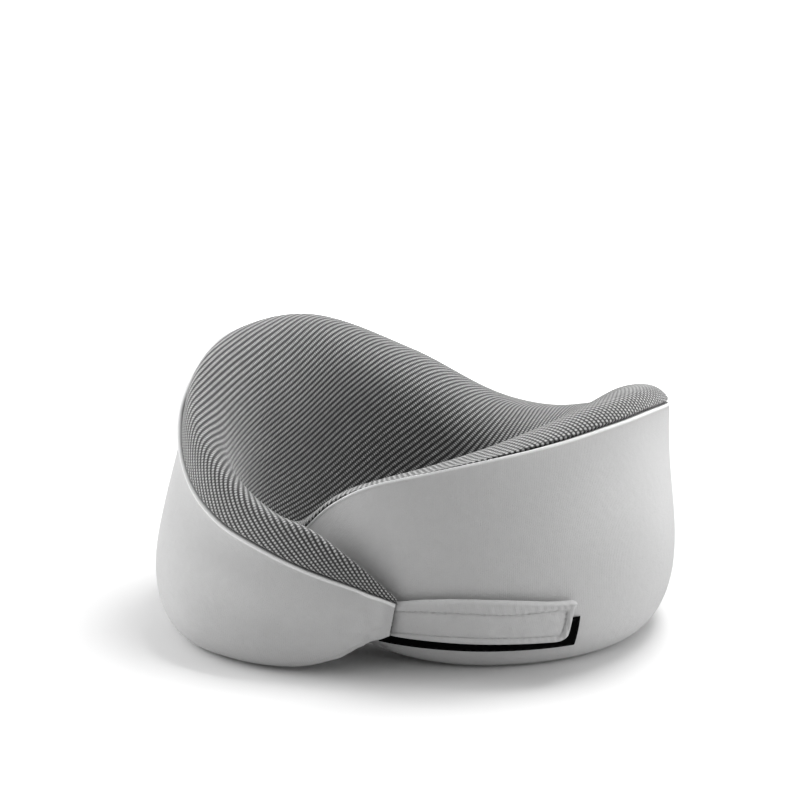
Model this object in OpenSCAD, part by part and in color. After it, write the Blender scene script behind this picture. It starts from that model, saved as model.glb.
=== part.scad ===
// U shaped neck pillow: a foam ring whose front ends overlap and are held by a
// hook and loop strap. Millimetres, +Z up, Z = 0 is the face it rests on, the
// origin is the middle of the whole, +Y is the nape, -Y is the throat. The ring
// itself is drawn round the centre of the neck opening. Left is -X and right is
// +X, as seen from the front. Angles from the nape grow towards the right arm;
// angles round the front start at -Y and grow towards +X.

/* [Ring] */
// Overall width across the two humps
ring_w = 264; // [250:1:280]
// Height of the taller (left) hump
hump_h = 128; // [118:1:136]
// Share of the underside that is a flat strip
flat_share = 0.2; // [0.15:0.05:0.3]
// Angle from the nape at which the arms flex
flex_angle = 95; // [90:1:100]

/* [Layers] */
// Thickness of the smooth outer cover fabric
cover_t = 1.2; // [0.8:0.1:1.4]
// Thickness of the spacer mesh on top and inside
mesh_t = 2.4; // [1.6:0.1:2.4]
// Thickness of the foam liner sock
liner_t = 0.4; // [0.3:0.05:0.4]
// Air between one layer and the next
layer_gap = 0.3; // [0.25:0.05:0.3]

/* [Strap] */
// Angle round the front where the strap is sewn to the left tip
strap_start = 20.8; // [20.8:0.1:22]
// Angle round the front where the strap ends
strap_end = 56.3; // [52:0.1:58]
// Height of the strap at its middle
strap_h = 22; // [18:1:24]
// Thickness of the folded strap
strap_t = 3.2; // [2.4:0.1:3.6]
// Spacing of the strap stitches
stitch_pitch = 3.2; // [2.8:0.2:4]

/* [Closure patch] */
// Angle round the front where the loop patch starts
patch_start = 14.6; // [14:0.2:20]
// Angle round the front where the loop patch ends
patch_end = 59; // [58:0.2:61]
// Height of the loop patch's lower edge above the floor
patch_z = 11.5; // [11:0.5:13]
// Height of the loop patch
patch_h = 16; // [14:1:20]
// Thickness of the loop patch
patch_t = 1.2; // [0.8:0.1:1.2]

/* [Zip] */
// Radius of the zip's arc on the underside
zip_r = 90; // [90:0.5:90.5]
// Half the angle that the zip's teeth cover
zip_half = 43; // [36:1:43]
// Spacing of the teeth along the zip
tooth_pitch = 2.4; // [2.2:0.1:2.8]

/* [Hidden] */

FOAM = [0.93, 0.90, 0.80];
LINER = [0.96, 0.96, 0.94];
COVER = [0.74, 0.75, 0.76];
MESH = [0.36, 0.37, 0.38];
TAPE = [0.55, 0.56, 0.57];
TEETH = [0.62, 0.63, 0.64];
STOPS = [0.7, 0.71, 0.72];
SLIDER = [0.72, 0.73, 0.74];

// The cross sections are tabled for a ring 264 wide and 128 high
plan_scale = ring_w / 264;
height_scale = hump_h / 128;
centre = plan_scale * [-1.7, 10.5, 0];     // brings the middle of the whole to the origin

liner_depth = mesh_t + layer_gap;          // outside of the liner, below the surface
core_depth = liner_depth + liner_t + layer_gap;
flex_gap = 0.4;      // half the gap at a flex joint, degrees
left_tip = 200;      // where the left arm ends, degrees from the nape
round_start = 200;   // where the right arm starts to round off
round_span = 13;     // degrees in which it would round off to a point

// ---- cross sections of the ring, from the nape to each tip ----
// Columns: angle from the nape, bulge radius, seam radius, seam height,
// crest radius, crest height, neck wall radius, lift off the floor
LEFT_SECTIONS = [
  [  0, 121,   115,    77,   100,    79,    64,    0   ],  // nape
  [ 30, 123,   115,    95,   102,   104.5,  65,    0   ],
  [ 60, 126,   117,   118,   105,   127,    70,    0   ],
  [ 85, 129,   119,   123,   108.5, 128,    77,    0   ],  // left hump
  [105, 131,   120.5, 109.5, 112,   121,    86,    0   ],
  [122, 134,   123.5,  93,   115,   109,    93,    0   ],
  [140, 143,   126,    74,   117.5,  94,   100,    0   ],
  [155, 148.5, 127,    62.5, 119,    81,   103.5,  0   ],  // starts to overlap
  [168, 145.5, 126.5,  55.5, 120.5,  71.5, 104.5,  0   ],
  [180, 138.7, 125.5,  48.5, 120.5,  66,   108.5,  2.4 ],
  [190, 130.7, 124.5,  43,   121.5,  54.5, 113,    9.9 ],
  [195, 125.6, 123.9,  39.4, 121.5,  46.5, 115.6, 15.8 ],
  [200, 122.5, 122.5,  35.4, 120.8,  37.4, 118.5, 18.5 ]   // flat sewn tip
];
RIGHT_SECTIONS = [
  [  0, 121,   115,    77,   100,    79,    64,    0   ],  // nape
  [ 30, 120,   118,    81,   102,    87,    66,    0   ],
  [ 60, 121,   122,   100.5, 107,   109,    72.5,  0   ],
  [ 85, 130,   119,   109.5, 108.5, 118,    78,    0   ],
  [105, 135.5, 119,   111,   108.5, 117.5,  80.5,  0   ],  // right hump
  [122, 134,   118.5, 108,   106.5, 111,    79,    0   ],
  [140, 127,   116,   102.5, 103,   101.5,  74.5,  0   ],
  [155, 118.5, 112,    95.5,  99.5,  93,    69.5,  1.5 ],
  [168, 111,   107,    87.5,  95,    85.5,  65.5,  5.2 ],
  [180, 106,   101,    74.5,  90,    77,    63,    9.7 ],
  [190, 102,    95.5,  60,    86.5,  65.5,  61.5, 14.5 ],
  [200,  98.5,  90,    45.5,  83,    55,    61,   20   ]   // rounded inner tip
];
BULGE_R = 1;
SEAM_R = 2;
SEAM_Z = 3;
CREST_R = 4;
CREST_Z = 5;
NECK_R = 6;
LIFT = 7;

// Both arms in one list, left tip to right tip, with the left angles negative
SECTIONS = concat(
  [for (i = [len(LEFT_SECTIONS) - 1 : -1 : 1])
    concat([-LEFT_SECTIONS[i][0]], [for (k = [BULGE_R : LIFT]) LEFT_SECTIONS[i][k]])],
  RIGHT_SECTIONS);
last_section = len(SECTIONS) - 1;

// ---- smooth interpolation between the cross sections ----
function section_before(a, i = 0) =
  i >= last_section - 1 || a < SECTIONS[i + 1][0] ? i : section_before(a, i + 1);
function slope(i, column) =
  let (from = SECTIONS[max(0, i - 1)], to = SECTIONS[min(last_section, i + 1)])
  (to[column] - from[column]) / (to[0] - from[0]);
// cubic through the tabled values of a column, at any angle
function column_at(a, column) = let (
    i = section_before(a),
    here = SECTIONS[i],
    next = SECTIONS[i + 1],
    step = next[0] - here[0],
    t = (a - here[0]) / step)
  (2*t*t*t - 3*t*t + 1) * here[column] + (t*t*t - 2*t*t + t) * step * slope(i, column)
  + (3*t*t - 2*t*t*t) * next[column] + (t*t*t - t*t) * step * slope(i + 1, column);
function bezier(p, t) =
  pow(1-t, 3) * p[0] + 3 * pow(1-t, 2) * t * p[1] + 3 * (1-t) * t * t * p[2] + pow(t, 3) * p[3];
function smooth(t) = let (u = min(1, max(0, t))) u * u * (3 - 2 * u);
function spread(from, to, n) = [for (i = [0 : n]) from + (to - from) * i / n];
function turned(list) = [for (i = [len(list) - 1 : -1 : 0]) list[i]];

// ---- outline of one cross section, as [radius, height] ----
seam_pull = [0.18, 0.62];   // shares of the way to the crest, sets the slope at the seam

// control points of the five curves, at a depth under the surface
function section_curves(angle, depth = 0) = let (
    a = min(angle, round_start),
    // the seam moves in along the mitre between the wall and the top
    lean = atan2(seam_pull[1] * height_scale * (column_at(a, CREST_Z) - column_at(a, SEAM_Z)),
                 seam_pull[0] * plan_scale * (column_at(a, SEAM_R) - column_at(a, CREST_R))),
    mitre = min(2, max(0.3, (1 - sin(lean)) / cos(lean))),
    bulge_r = plan_scale * column_at(a, BULGE_R) - depth,
    seam_r = plan_scale * column_at(a, SEAM_R) - depth,
    seam_z = height_scale * column_at(a, SEAM_Z) - mitre * depth,
    crest_r = plan_scale * column_at(a, CREST_R),
    crest_z = height_scale * column_at(a, CREST_Z) - depth,
    neck_r = plan_scale * column_at(a, NECK_R) + depth,
    base_z = height_scale * max(0, column_at(a, LIFT)) + depth,
    bulge_z = base_z + 0.36 * (seam_z - base_z),
    neck_z = base_z + 0.5 * (crest_z - base_z),
    flat_in = neck_r + 0.55 * (bulge_r - neck_r),
    flat_out = flat_in + flat_share * (bulge_r - flat_in))
  [ // outer wall, bulge to seam
    [[bulge_r, bulge_z], [bulge_r, bulge_z + 0.42 * (seam_z - bulge_z)],
     [seam_r, seam_z - 0.35 * (seam_z - bulge_z)], [seam_r, seam_z]],
    // seam to crest
    [[seam_r, seam_z],
     [seam_r + seam_pull[0] * (crest_r - seam_r), seam_z + seam_pull[1] * (crest_z - seam_z)],
     [crest_r - 0.5 * (crest_r - seam_r), crest_z], [crest_r, crest_z]],
    // crest to neck wall
    [[crest_r, crest_z], [crest_r + 0.72 * (neck_r - crest_r), crest_z],
     [neck_r, neck_z + 0.55 * (crest_z - neck_z)], [neck_r, neck_z]],
    // neck wall to underside
    [[neck_r, neck_z], [neck_r, neck_z - 0.85 * (neck_z - base_z)],
     [flat_in - 0.85 * (flat_in - neck_r), base_z], [flat_in, base_z]],
    // underside to bulge
    [[flat_out, base_z], [flat_out + 0.55 * (bulge_r - flat_out), base_z],
     [bulge_r, bulge_z - 0.6 * (bulge_z - base_z)], [bulge_r, bulge_z]] ];

// Places of the named points in the closed outline of 24
BULGE = 0;
SEAM = 4;
CREST = 8;
NECK = 13;
FLAT_IN = 18;
FLAT_OUT = 19;
function curve_points(curve, n) = [for (i = [0 : n - 1]) bezier(curve, i / n)];
function points_of(curves) =
  concat(curve_points(curves[0], 4), curve_points(curves[1], 4), curve_points(curves[2], 5),
         curve_points(curves[3], 5), [curves[3][3]], curve_points(curves[4], 5));

// inward direction of each point, per millimetre of depth
function inward(a) = points_of(section_curves(a, 1)) - points_of(section_curves(a, 0));
// outline of the surface, shrunk about its middle past round_start
function outline(a) = let (
    p = points_of(section_curves(a)),
    size = a <= round_start ? 1 : sqrt(1 - pow((a - round_start) / round_span, 2)),
    middle = [(p[BULGE][0] + p[NECK][0]) / 2, (p[FLAT_IN][1] + p[CREST][1]) / 2])
  size == 1 ? p : [for (q = p) middle + size * (q - middle)];
// stands a [radius, height] point in the radial plane at an angle from the nape
function place(p, a) = [p[0] * sin(a), p[0] * cos(a), p[1]];

// ---- lofted solids ----
// Triangles round m rings of n points. The first alt sides of each ring are split
// along the other diagonal, so that facing layers are split alike and stay apart.
function side_faces(n, m, alt = 0, first = 0) = [for (i = [0 : m-2], j = [0 : n-1])
  let (a = first + i*n + j, b = first + i*n + (j+1) % n)
  each j < alt ? [[a, b, a+n], [b, b+n, a+n]] : [[a, b, b+n], [a, b+n, a+n]]];

module loft(rings) {
  n = len(rings[0]);
  m = len(rings);
  polyhedron(points = [for (r = rings) each r], convexity = 6, faces = concat(
    [[for (j = [0 : n-1]) n-1-j]],
    side_faces(n, m),
    [[for (j = [0 : n-1]) (m-1)*n + j]]));
}

// the same for thin strips, whose ends are closed across their thickness
module strip_loft(rings, alt = 0) {
  n = len(rings[0]);
  m = len(rings);
  end = (m-1)*n;
  polyhedron(points = [for (r = rings) each r], convexity = 6, faces = concat(
    [for (j = [0 : n/2 - 2]) each [[n-1-j, n-2-j, j+1], [n-1-j, j+1, j]]],
    side_faces(n, m, alt),
    [for (j = [0 : n/2 - 2])
      each [[end+j, end+j+1, end+n-2-j], [end+j, end+n-2-j, end+n-1-j]]]));
}

// tube between two lofts, open at both ends
module sleeve(outer, inner) {
  n = len(outer[0]);
  m = len(outer);
  skin = n * m;      // index of the first inner point
  end = (m-1)*n;
  rim = [for (j = [0 : n-1]) let (b = (j+1) % n) each [[j, skin+j, b], [b, skin+j, skin+b]]];
  polyhedron(points = concat([for (r = outer) each r], [for (r = inner) each r]),
    faces = concat(
      side_faces(n, m),
      [for (f = side_faces(n, m, first = skin)) turned(f)],
      rim,
      [for (f = rim) turned([for (k = f) k + end])]));
}

module centred() translate(centre) children();

// angles of the rings in each body
BACK = spread(-(flex_angle - flex_gap), flex_angle - flex_gap, 20);
LEFT = spread(-left_tip, -(flex_angle + flex_gap), 12);
RIGHT = concat(spread(flex_angle + flex_gap, round_start, 11), [205, 209, 211.5]);
// the foam stops short of the tips
LEFT_FOAM = [for (i = [3 : 12]) LEFT[i]];
RIGHT_FOAM = [for (i = [0 : 12]) RIGHT[i]];

// ---- foam and liner ----
groove_z = 8;         // headroom over the zip
groove_half = 52;     // the groove is full up to this angle either side of the nape
groove_fade = 8;      // degrees over which it runs out
function in_groove(a) = 1 - smooth((abs(a) - groove_half) / groove_fade);

// outline at a depth, lifted clear of the zip under the back
function layer(a, depth) = let (
    p = outline(a) + depth * inward(a),
    roof = in_groove(a) * (groove_z + depth - liner_depth))
  [for (i = [0 : len(p) - 1]) [p[i][0], i >= 15 && i <= FLAT_IN ? max(p[i][1], roof) : p[i][1]]];
function layer_rings(angles, depth) =
  [for (a = angles) turned([for (p = layer(a, depth)) place(p, a)])];

module core(angles) loft(layer_rings(angles, core_depth));
module liner(angles)
  sleeve(layer_rings(angles, liner_depth), layer_rings(angles, liner_depth + liner_t));

module foam_core_back() color(FOAM) centred() core(BACK);
module foam_core_left() color(FOAM) centred() core(LEFT_FOAM);
module foam_core_right() color(FOAM) centred() core(RIGHT_FOAM);
module foam_liner_back() color(LINER) centred() liner(BACK);
module foam_liner_left() color(LINER) centred() liner(LEFT_FOAM);
module foam_liner_right() color(LINER) centred() liner(RIGHT_FOAM);

// ---- cover and mesh ----
seam_gap = 0.25;      // each fabric stops this far from the seam line
flat_gap = 0.4;       // gap to the mesh at the flat strip
zip_clear = 7;        // the cover's edge beyond the zip's arc
pinch_span = 18;      // degrees over which the left tip is pinched

// the fabrics thin out where they are pinched into the left tip
function pinch(a) = 1 - 0.45 * smooth((-a - (left_tip - pinch_span)) / pinch_span);
function toward(p, q) = seam_gap * (q - p) / norm(q - p);

// ring of a fabric: outer points and the same points moved in by its thickness
function fabric_ring(pts, dirs, thick, a) = turned(concat(
  [for (p = pts) place(p, a)],
  [for (i = [len(pts) - 1 : -1 : 0]) place(pts[i] + thick * pinch(a) * dirs[i], a)]));

// smooth cover from the flat strip, round the bulge, up to the seam
function cover_ring(a) = let (
    p = outline(a),
    v = inward(a),
    g = in_groove(a),
    start = (1 - g) * (p[FLAT_IN] + [flat_gap, 0]) + g * [zip_r + zip_clear, p[FLAT_IN][1]],
    order = [19, 20, 21, 22, 23, 0, 1, 2, 3])
  fabric_ring(concat([start], [for (i = order) p[i]], [p[SEAM] + toward(p[SEAM], p[SEAM - 1])]),
              concat([v[FLAT_OUT]], [for (i = order) v[i]], [v[SEAM]]), cover_t, a);

// mesh from the seam, over the crest and down the neck wall to the underside
function mesh_ring(a) = let (
    p = outline(a),
    v = inward(a),
    g = in_groove(a),
    order = [SEAM + 1 : FLAT_IN - 1],
    t = 0.03 * g + 0.97 * (1 - g),   // it stops short of the zip
    last = (1 - t) * p[FLAT_IN - 1] + t * p[FLAT_IN],
    last_dir = (1 - t) * v[FLAT_IN - 1] + t * v[FLAT_IN])
  fabric_ring(concat([p[SEAM] + toward(p[SEAM], p[SEAM + 1])], [for (i = order) p[i]], [last]),
              concat([v[SEAM]], [for (i = order) v[i]], [last_dir]), mesh_t, a);

module outer_cover(angles) strip_loft([for (a = angles) cover_ring(a)], alt = 10);
module mesh_panel(angles) strip_loft([for (a = angles) mesh_ring(a)], alt = 14);

module outer_cover_back() color(COVER) centred() outer_cover(BACK);
module outer_cover_left() color(COVER) centred() outer_cover(LEFT);
module outer_cover_right() color(COVER) centred() outer_cover(RIGHT);
module mesh_panel_back() color(MESH) centred() mesh_panel(BACK);
module mesh_panel_left() color(MESH) centred() mesh_panel(LEFT);
module mesh_panel_right() color(MESH) centred() mesh_panel(RIGHT);

// ---- zip under the back ----
tape_in = 1.1;        // tape edges, measured from the zip's arc
tape_out = 5.5;
tape_z = 6;
tape_t = 0.6;
tape_half = zip_half + 4;
tooth_z = 4.2;
tooth_h = 1.7;
tooth_angle = tooth_pitch / zip_r * 180 / PI;
teeth_n = floor(2 * zip_half / tooth_angle) - 1;
stop_angle = zip_half + 2.2;
// shank on the tape and a wider head towards the other row
TOOTH = [[-0.45, 3.1], [-0.45, 1.7], [-0.75, 1.4], [-0.75, 0.9],
         [0.75, 0.9], [0.75, 1.4], [0.45, 1.7], [0.45, 3.1]];

// on the arc at an angle from the nape, with +Y pointing outwards
module at_zip(a) rotate([0, 0, -a]) translate([0, zip_r, 0]) children();

module tape(inner_r) rotate([0, 0, 90 - tape_half])
  rotate_extrude(angle = 2 * tape_half, $fn = 96)
    translate([inner_r, tape_z]) square([tape_out - tape_in, tape_t]);
// side is 1 for the outer row and -1 for the inner, half a pitch further on
module teeth(side) for (i = [0 : teeth_n - 1])
  at_zip(-zip_half + tooth_angle * (i + 1 - 0.25 * side))
    translate([0, 0, tooth_z]) linear_extrude(tooth_h) polygon(side * TOOTH);

module zip_tape_outer() color(TAPE) centred() tape(zip_r + tape_in);
module zip_tape_inner() color(TAPE) centred() tape(zip_r - tape_out);
module zip_teeth_outer() color(TEETH) centred() teeth(1);
module zip_teeth_inner() color(TEETH) centred() teeth(-1);
module zip_top_stop() color(STOPS) centred()
  at_zip(stop_angle) translate([-1, -2.6, 4.1]) cube([2, 5.2, 1.8]);
module zip_bottom_stop() color(STOPS) centred()
  at_zip(-stop_angle) translate([-2, -3.2, 4.0]) cube([4, 6.4, 1.9]);

// ---- slider and pull tab ----
slider_angle = zip_half - 2.6;   // the slider rests by the top stop
slider_l = 10;
slider_w = 7.6;
rim_t = 0.5;
lug_y = 2.1;          // inner faces of the two lugs that hold the pin
lug_t = 0.8;
corner_out = 0.6;     // centres of the corner cuts, outside the corners
pin_x = 3.6;
pin_z = 1.9;
tab_l = 13;           // from the slider's middle to the centre of the tab's round end
tab_w = 4;
tab_t = 1;
tab_z = 1.4;

module cross_pin(r, h)
  translate([pin_x, h / 2, pin_z]) rotate([90, 0, 0]) cylinder(r = r, h = h, $fn = 32);

module slider_body() {
  left = -slider_l / 2;
  side = slider_w / 2;
  translate([left, -side, 2.8]) cube([slider_l, slider_w, 1.2]);   // lower plate
  translate([left, -side, 6.8]) cube([slider_l, slider_w, 1]);     // upper plate
  translate([2.2, -0.6, 3.5]) cube([2.4, 1.2, 3.8]);               // post between them
  for (y = [-side, side - rim_t]) translate([left, y, 3.5]) cube([slider_l, rim_t, 1.9]);
  for (y = [-lug_y - lug_t, lug_y]) translate([2.6, y, 1.1]) cube([2, lug_t, 2]);
}

module zip_slider() color(SLIDER) centred() at_zip(slider_angle) {
  difference() {
    slider_body();
    for (y = [-1, 1], x = [-1, 1])
      translate([x * (slider_l / 2 + corner_out), y * (slider_w / 2 + corner_out), 0])
        rotate([0, 0, 45]) translate([-1, -1, 0]) cube([2, 2, 9]);
  }
  cross_pin(r = 0.5, h = 5);
}

module zip_pull_tab() color(SLIDER) centred() at_zip(slider_angle) difference() {
  union() {
    cross_pin(r = 0.82, h = tab_w);
    translate([-tab_l, -tab_w / 2, tab_z]) cube([tab_l + pin_x, tab_w, tab_t]);
    translate([-tab_l, 0, tab_z]) cylinder(r = 2.6, h = tab_t, $fn = 48);
  }
  cross_pin(r = 0.56, h = 6);
  translate([-12.6, 0, 1]) cylinder(r = 1.2, h = 2, $fn = 32);
}

// ---- outside surface of the right arm, where the patch and the strap lie ----
// parameter of a curve at a height, by halving
function param_at(curve, z, low = 0, high = 1, steps = 24) =
  let (mid = (low + high) / 2)
  steps == 0 ? mid
  : bezier(curve, mid)[1] < z ? param_at(curve, z, mid, high, steps - 1)
  : param_at(curve, z, low, mid, steps - 1);
function wall_r(b, z) = let (
    curves = section_curves(180 - b),
    curve = z < curves[0][0][1] ? curves[4] : curves[0])
  bezier(curve, param_at(curve, z))[0];
// point at angle b round the front, standing off the wall
function front(b, z, off) = let (r = wall_r(b, z) + off) [r * sin(b), -r * cos(b), z];

// ring of a strip that follows the wall, between two distances off it
function band(b, mid, half, inner, outer) = let (shares = [-1, -0.5, 0, 0.5, 1])
  concat([for (k = shares) front(b, mid + half * k, outer)],
         [for (k = turned(shares)) front(b, mid + half * k, inner)]);

// one thread cylinder for each pair of end points
module stitches(pairs) for (pair = pairs)
  let (v = pair[1] - pair[0], l = norm(v))
  translate(pair[0]) rotate([0, acos(v[2] / l), atan2(v[1], v[0])])
    cylinder(r = 0.35, h = l, $fn = 16);
// start and end angles of n stitches between two angles
function run(from, to, n) = let (step = (to - from) / n)
  [for (i = [0 : n - 1]) [from + (i + 0.15) * step, from + (i + 0.8) * step]];
function arc_length(angle, r) = angle * PI / 180 * r;

// ---- strap ----
patch_off = 0.5;      // patch's inner face off the wall
hook_t = 1.0;
hook_gap = 0.15;      // between the hook pad and the strap
strap_off = patch_off + patch_t + 0.3 + hook_t + hook_gap;   // strap's inner face
strap_face = strap_off + strap_t;
strap_span = strap_end - strap_start;
strap_round = 3.4;    // degrees over which the free end is rounded
hem = 3.4;            // from the strap's edge to its stitches
hem_n = round(arc_length(strap_span - 5, 134) / stitch_pitch);
STRAP_ANGLES = concat(spread(strap_start, strap_end - strap_round, 11),
                      [for (e = [2.6, 1.8, 1.1, 0.6, 0.2, 0]) strap_end - e]);

// height of the strap's middle line, and half its height, along its length
function strap_mid(b) = let (t = (b - strap_start) / strap_span)
  height_scale * (26.6 + 6.4 * t * (1 - t) - 1.2 * t);
function strap_half(b) = let (
    t = (b - strap_start) / strap_span,
    e = (strap_end - b) / strap_round)
  (strap_h / 2) * (0.86 + 0.56 * t * (1 - t))
  * (e < 1 ? 0.55 + 0.45 * sqrt(max(0, 1 - pow(1 - e, 2))) : 1);

module strap_fabric() color([0.68, 0.69, 0.70]) centred()
  strip_loft([for (b = STRAP_ANGLES)
    band(b, strap_mid(b), strap_half(b), strap_off, strap_face)]);
module strap_hook_pad() color([0.12, 0.12, 0.12]) centred()
  strip_loft([for (b = spread(strap_start + 5, strap_end - 3.5, 10))
    band(b, strap_mid(b) - 0.5, 6.6, strap_off - hook_gap - hook_t, strap_off - hook_gap)]);
// a row along both edges and three upright stitches across the free end
module strap_stitching() color([0.80, 0.81, 0.82]) centred() {
  for (side = [-1, 1]) stitches([for (ends = run(strap_start + 1.2, strap_end - 3.2, hem_n))
    [for (b = ends) front(b, strap_mid(b) + side * (strap_half(b) - hem), strap_face + 0.55)]]);
  stitches([for (k = [0 : 2]) let (b = strap_end - 2.1, z = strap_mid(b) - 4.6 + 3.2 * k)
    [front(b, z, strap_face + 0.6), front(b, z + 2.1, strap_face + 0.6)]]);
}

// ---- loop patch ----
patch_bottom = height_scale * patch_z;
patch_spare = 0.2;    // the patch is made this much thinner than patch_t
patch_stitch_out = 0.6;
patch_inset = 1.5;    // degrees from the patch's ends to its stitches
patch_n = round(arc_length(patch_end - patch_start - 2 * patch_inset, 127) / 4);

module loop_patch() color([0.06, 0.06, 0.06]) centred()
  strip_loft([for (b = spread(patch_start, patch_end, 14))
    band(b, patch_bottom + patch_h / 2, patch_h / 2,
         patch_off, patch_off + patch_t - patch_spare)]);
// rows just below and just above the patch
module loop_patch_stitching() color([0.35, 0.35, 0.35]) centred()
  for (z = [patch_bottom - patch_stitch_out, patch_bottom + patch_h + patch_stitch_out])
    stitches([for (ends = run(patch_start + patch_inset, patch_end - patch_inset, patch_n))
      [for (b = ends) front(b, z, 0.62)]]);

foam_core_back();
foam_core_left();
foam_core_right();
foam_liner_back();
foam_liner_left();
foam_liner_right();
outer_cover_back();
outer_cover_left();
outer_cover_right();
mesh_panel_back();
mesh_panel_left();
mesh_panel_right();
zip_tape_outer();
zip_tape_inner();
zip_teeth_outer();
zip_teeth_inner();
zip_top_stop();
zip_bottom_stop();
zip_slider();
zip_pull_tab();
strap_fabric();
strap_hook_pad();
strap_stitching();
loop_patch();
loop_patch_stitching();
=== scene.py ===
# A padded neck ring with a strap, lying flat on the floor with its neck opening along Z.
# The nape is at +Y. The left arm (-X) and the right arm (+X) cross at the front (-Y), where
# the left tip lies outside the right arm and the strap runs on from it towards +X.
#
# Sizes are in mm and angles in degrees; place() and front() turn them into metres.
# "angle" is measured round from the nape, positive towards +X.
# "turn" is measured round from the front, positive towards +X.
import math

import bmesh
import bpy
import numpy as np
from mathutils import Matrix, Vector


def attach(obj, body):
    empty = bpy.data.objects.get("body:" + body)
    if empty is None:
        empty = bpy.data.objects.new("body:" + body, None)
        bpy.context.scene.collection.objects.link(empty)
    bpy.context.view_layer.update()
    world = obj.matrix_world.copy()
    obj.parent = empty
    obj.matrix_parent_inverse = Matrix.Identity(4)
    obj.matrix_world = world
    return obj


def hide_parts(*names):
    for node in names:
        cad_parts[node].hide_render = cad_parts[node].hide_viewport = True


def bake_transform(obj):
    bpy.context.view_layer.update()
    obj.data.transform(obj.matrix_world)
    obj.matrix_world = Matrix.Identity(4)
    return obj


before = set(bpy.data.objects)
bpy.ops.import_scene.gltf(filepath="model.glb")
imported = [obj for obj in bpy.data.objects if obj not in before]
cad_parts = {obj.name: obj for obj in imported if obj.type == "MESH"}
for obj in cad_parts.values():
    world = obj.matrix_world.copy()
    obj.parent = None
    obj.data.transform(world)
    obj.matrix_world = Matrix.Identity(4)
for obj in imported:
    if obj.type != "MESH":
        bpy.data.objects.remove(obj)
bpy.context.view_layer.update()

scene = bpy.context.scene
MM = 0.001

# ------------------------------------------------------------------ the ring's shape
# Columns: angle from the nape, bulge radius, seam radius, seam height, crest radius,
# crest height, neck wall radius, lift off the floor.
LEFT = [
    [0, 121, 115, 77, 100, 79, 64, 0],
    [30, 123, 115, 95, 102, 104.5, 65, 0],
    [60, 126, 117, 118, 105, 127, 70, 0],
    [85, 129, 119, 123, 108.5, 128, 77, 0],
    [105, 131, 120.5, 109.5, 112, 121, 86, 0],
    [122, 134, 123.5, 93, 115, 109, 93, 0],
    [140, 143, 126, 74, 117.5, 94, 100, 0],
    [155, 148.5, 127, 62.5, 119, 81, 103.5, 0],
    [168, 145.5, 126.5, 55.5, 120.5, 71.5, 104.5, 0],
    [180, 138.7, 125.5, 48.5, 120.5, 66, 108.5, 2.4],
    [190, 130.7, 124.5, 43, 121.5, 54.5, 113, 9.9],
    [195, 125.6, 123.9, 39.4, 121.5, 46.5, 115.6, 15.8],
    [200, 122.5, 122.5, 35.4, 120.8, 37.4, 118.5, 18.5],
]
RIGHT = [
    [0, 121, 115, 77, 100, 79, 64, 0],
    [30, 120, 118, 81, 102, 87, 66, 0],
    [60, 121, 122, 100.5, 107, 109, 72.5, 0],
    [85, 130, 119, 109.5, 108.5, 118, 78, 0],
    [105, 135.5, 119, 111, 108.5, 117.5, 80.5, 0],
    [122, 134, 118.5, 108, 106.5, 111, 79, 0],
    [140, 127, 116, 102.5, 103, 101.5, 74.5, 0],
    [155, 118.5, 112, 95.5, 99.5, 93, 69.5, 1.5],
    [168, 111, 107, 87.5, 95, 85.5, 65.5, 5.2],
    [180, 106, 101, 74.5, 90, 77, 63, 9.7],
    [190, 102, 95.5, 60, 86.5, 65.5, 61.5, 14.5],
    [200, 98.5, 90, 45.5, 83, 55, 61, 20],
]
STATIONS = np.array([[-row[0]] + row[1:] for row in LEFT[:0:-1]] + RIGHT, float)
STATION_ANGLES, STATION_SIZES = STATIONS[:, 0], STATIONS[:, 1:]
TIP_ANGLE = 200.0                        # the last station of either arm
TIP_ROUND = 13                           # degrees beyond it in which the right tip closes
TIP_ARC = 20                             # scale of the fabric's run over the right tip
TIP_NECK_RADIUS = 61
TIP_LEAN = 1.7                           # degrees the left tip leans back at its foot
LEAN_TOP, LEAN_HEIGHT = 36, 19           # the lean grows downwards from this height
CENTRE = np.array([-1.7, 10.5, 0.0])     # from the neck opening's axis to the origin
CURVE_STEPS = np.linspace(0, 1, 65)
NECK_MIDDLE = 2 * (len(CURVE_STEPS) - 1)  # index on mesh_path() halfway up the neck wall
ZIP_RADIUS = 97.0                        # where the cover stops over the zip


def smooth(t):
    """Smoothstep, clamped to 0..1."""
    t = np.clip(t, 0, 1)
    return t * t * (3 - 2 * t)


def lerp(start, end, t):
    return start + (end - start) * t


def bell(x, middle, width):
    return np.exp(-((x - middle) / width)**2)


def rounded(distance, radius):
    """Quarter-circle rise from 0 at an edge to 1 at the radius."""
    return math.sqrt(max(0.0, 1 - (1 - min(max(distance, 0) / radius, 1))**2))


def unit(vectors):
    return vectors / np.linalg.norm(vectors, axis=-1, keepdims=True)


def station_slopes():
    sizes, angles = STATION_SIZES, STATION_ANGLES[:, None]
    slopes = np.empty_like(sizes)
    slopes[1:-1] = (sizes[2:] - sizes[:-2]) / (angles[2:] - angles[:-2])
    slopes[0] = (sizes[1] - sizes[0]) / (angles[1] - angles[0])
    slopes[-1] = (sizes[-1] - sizes[-2]) / (angles[-1] - angles[-2])
    return slopes


STATION_SLOPES = station_slopes()


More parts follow.
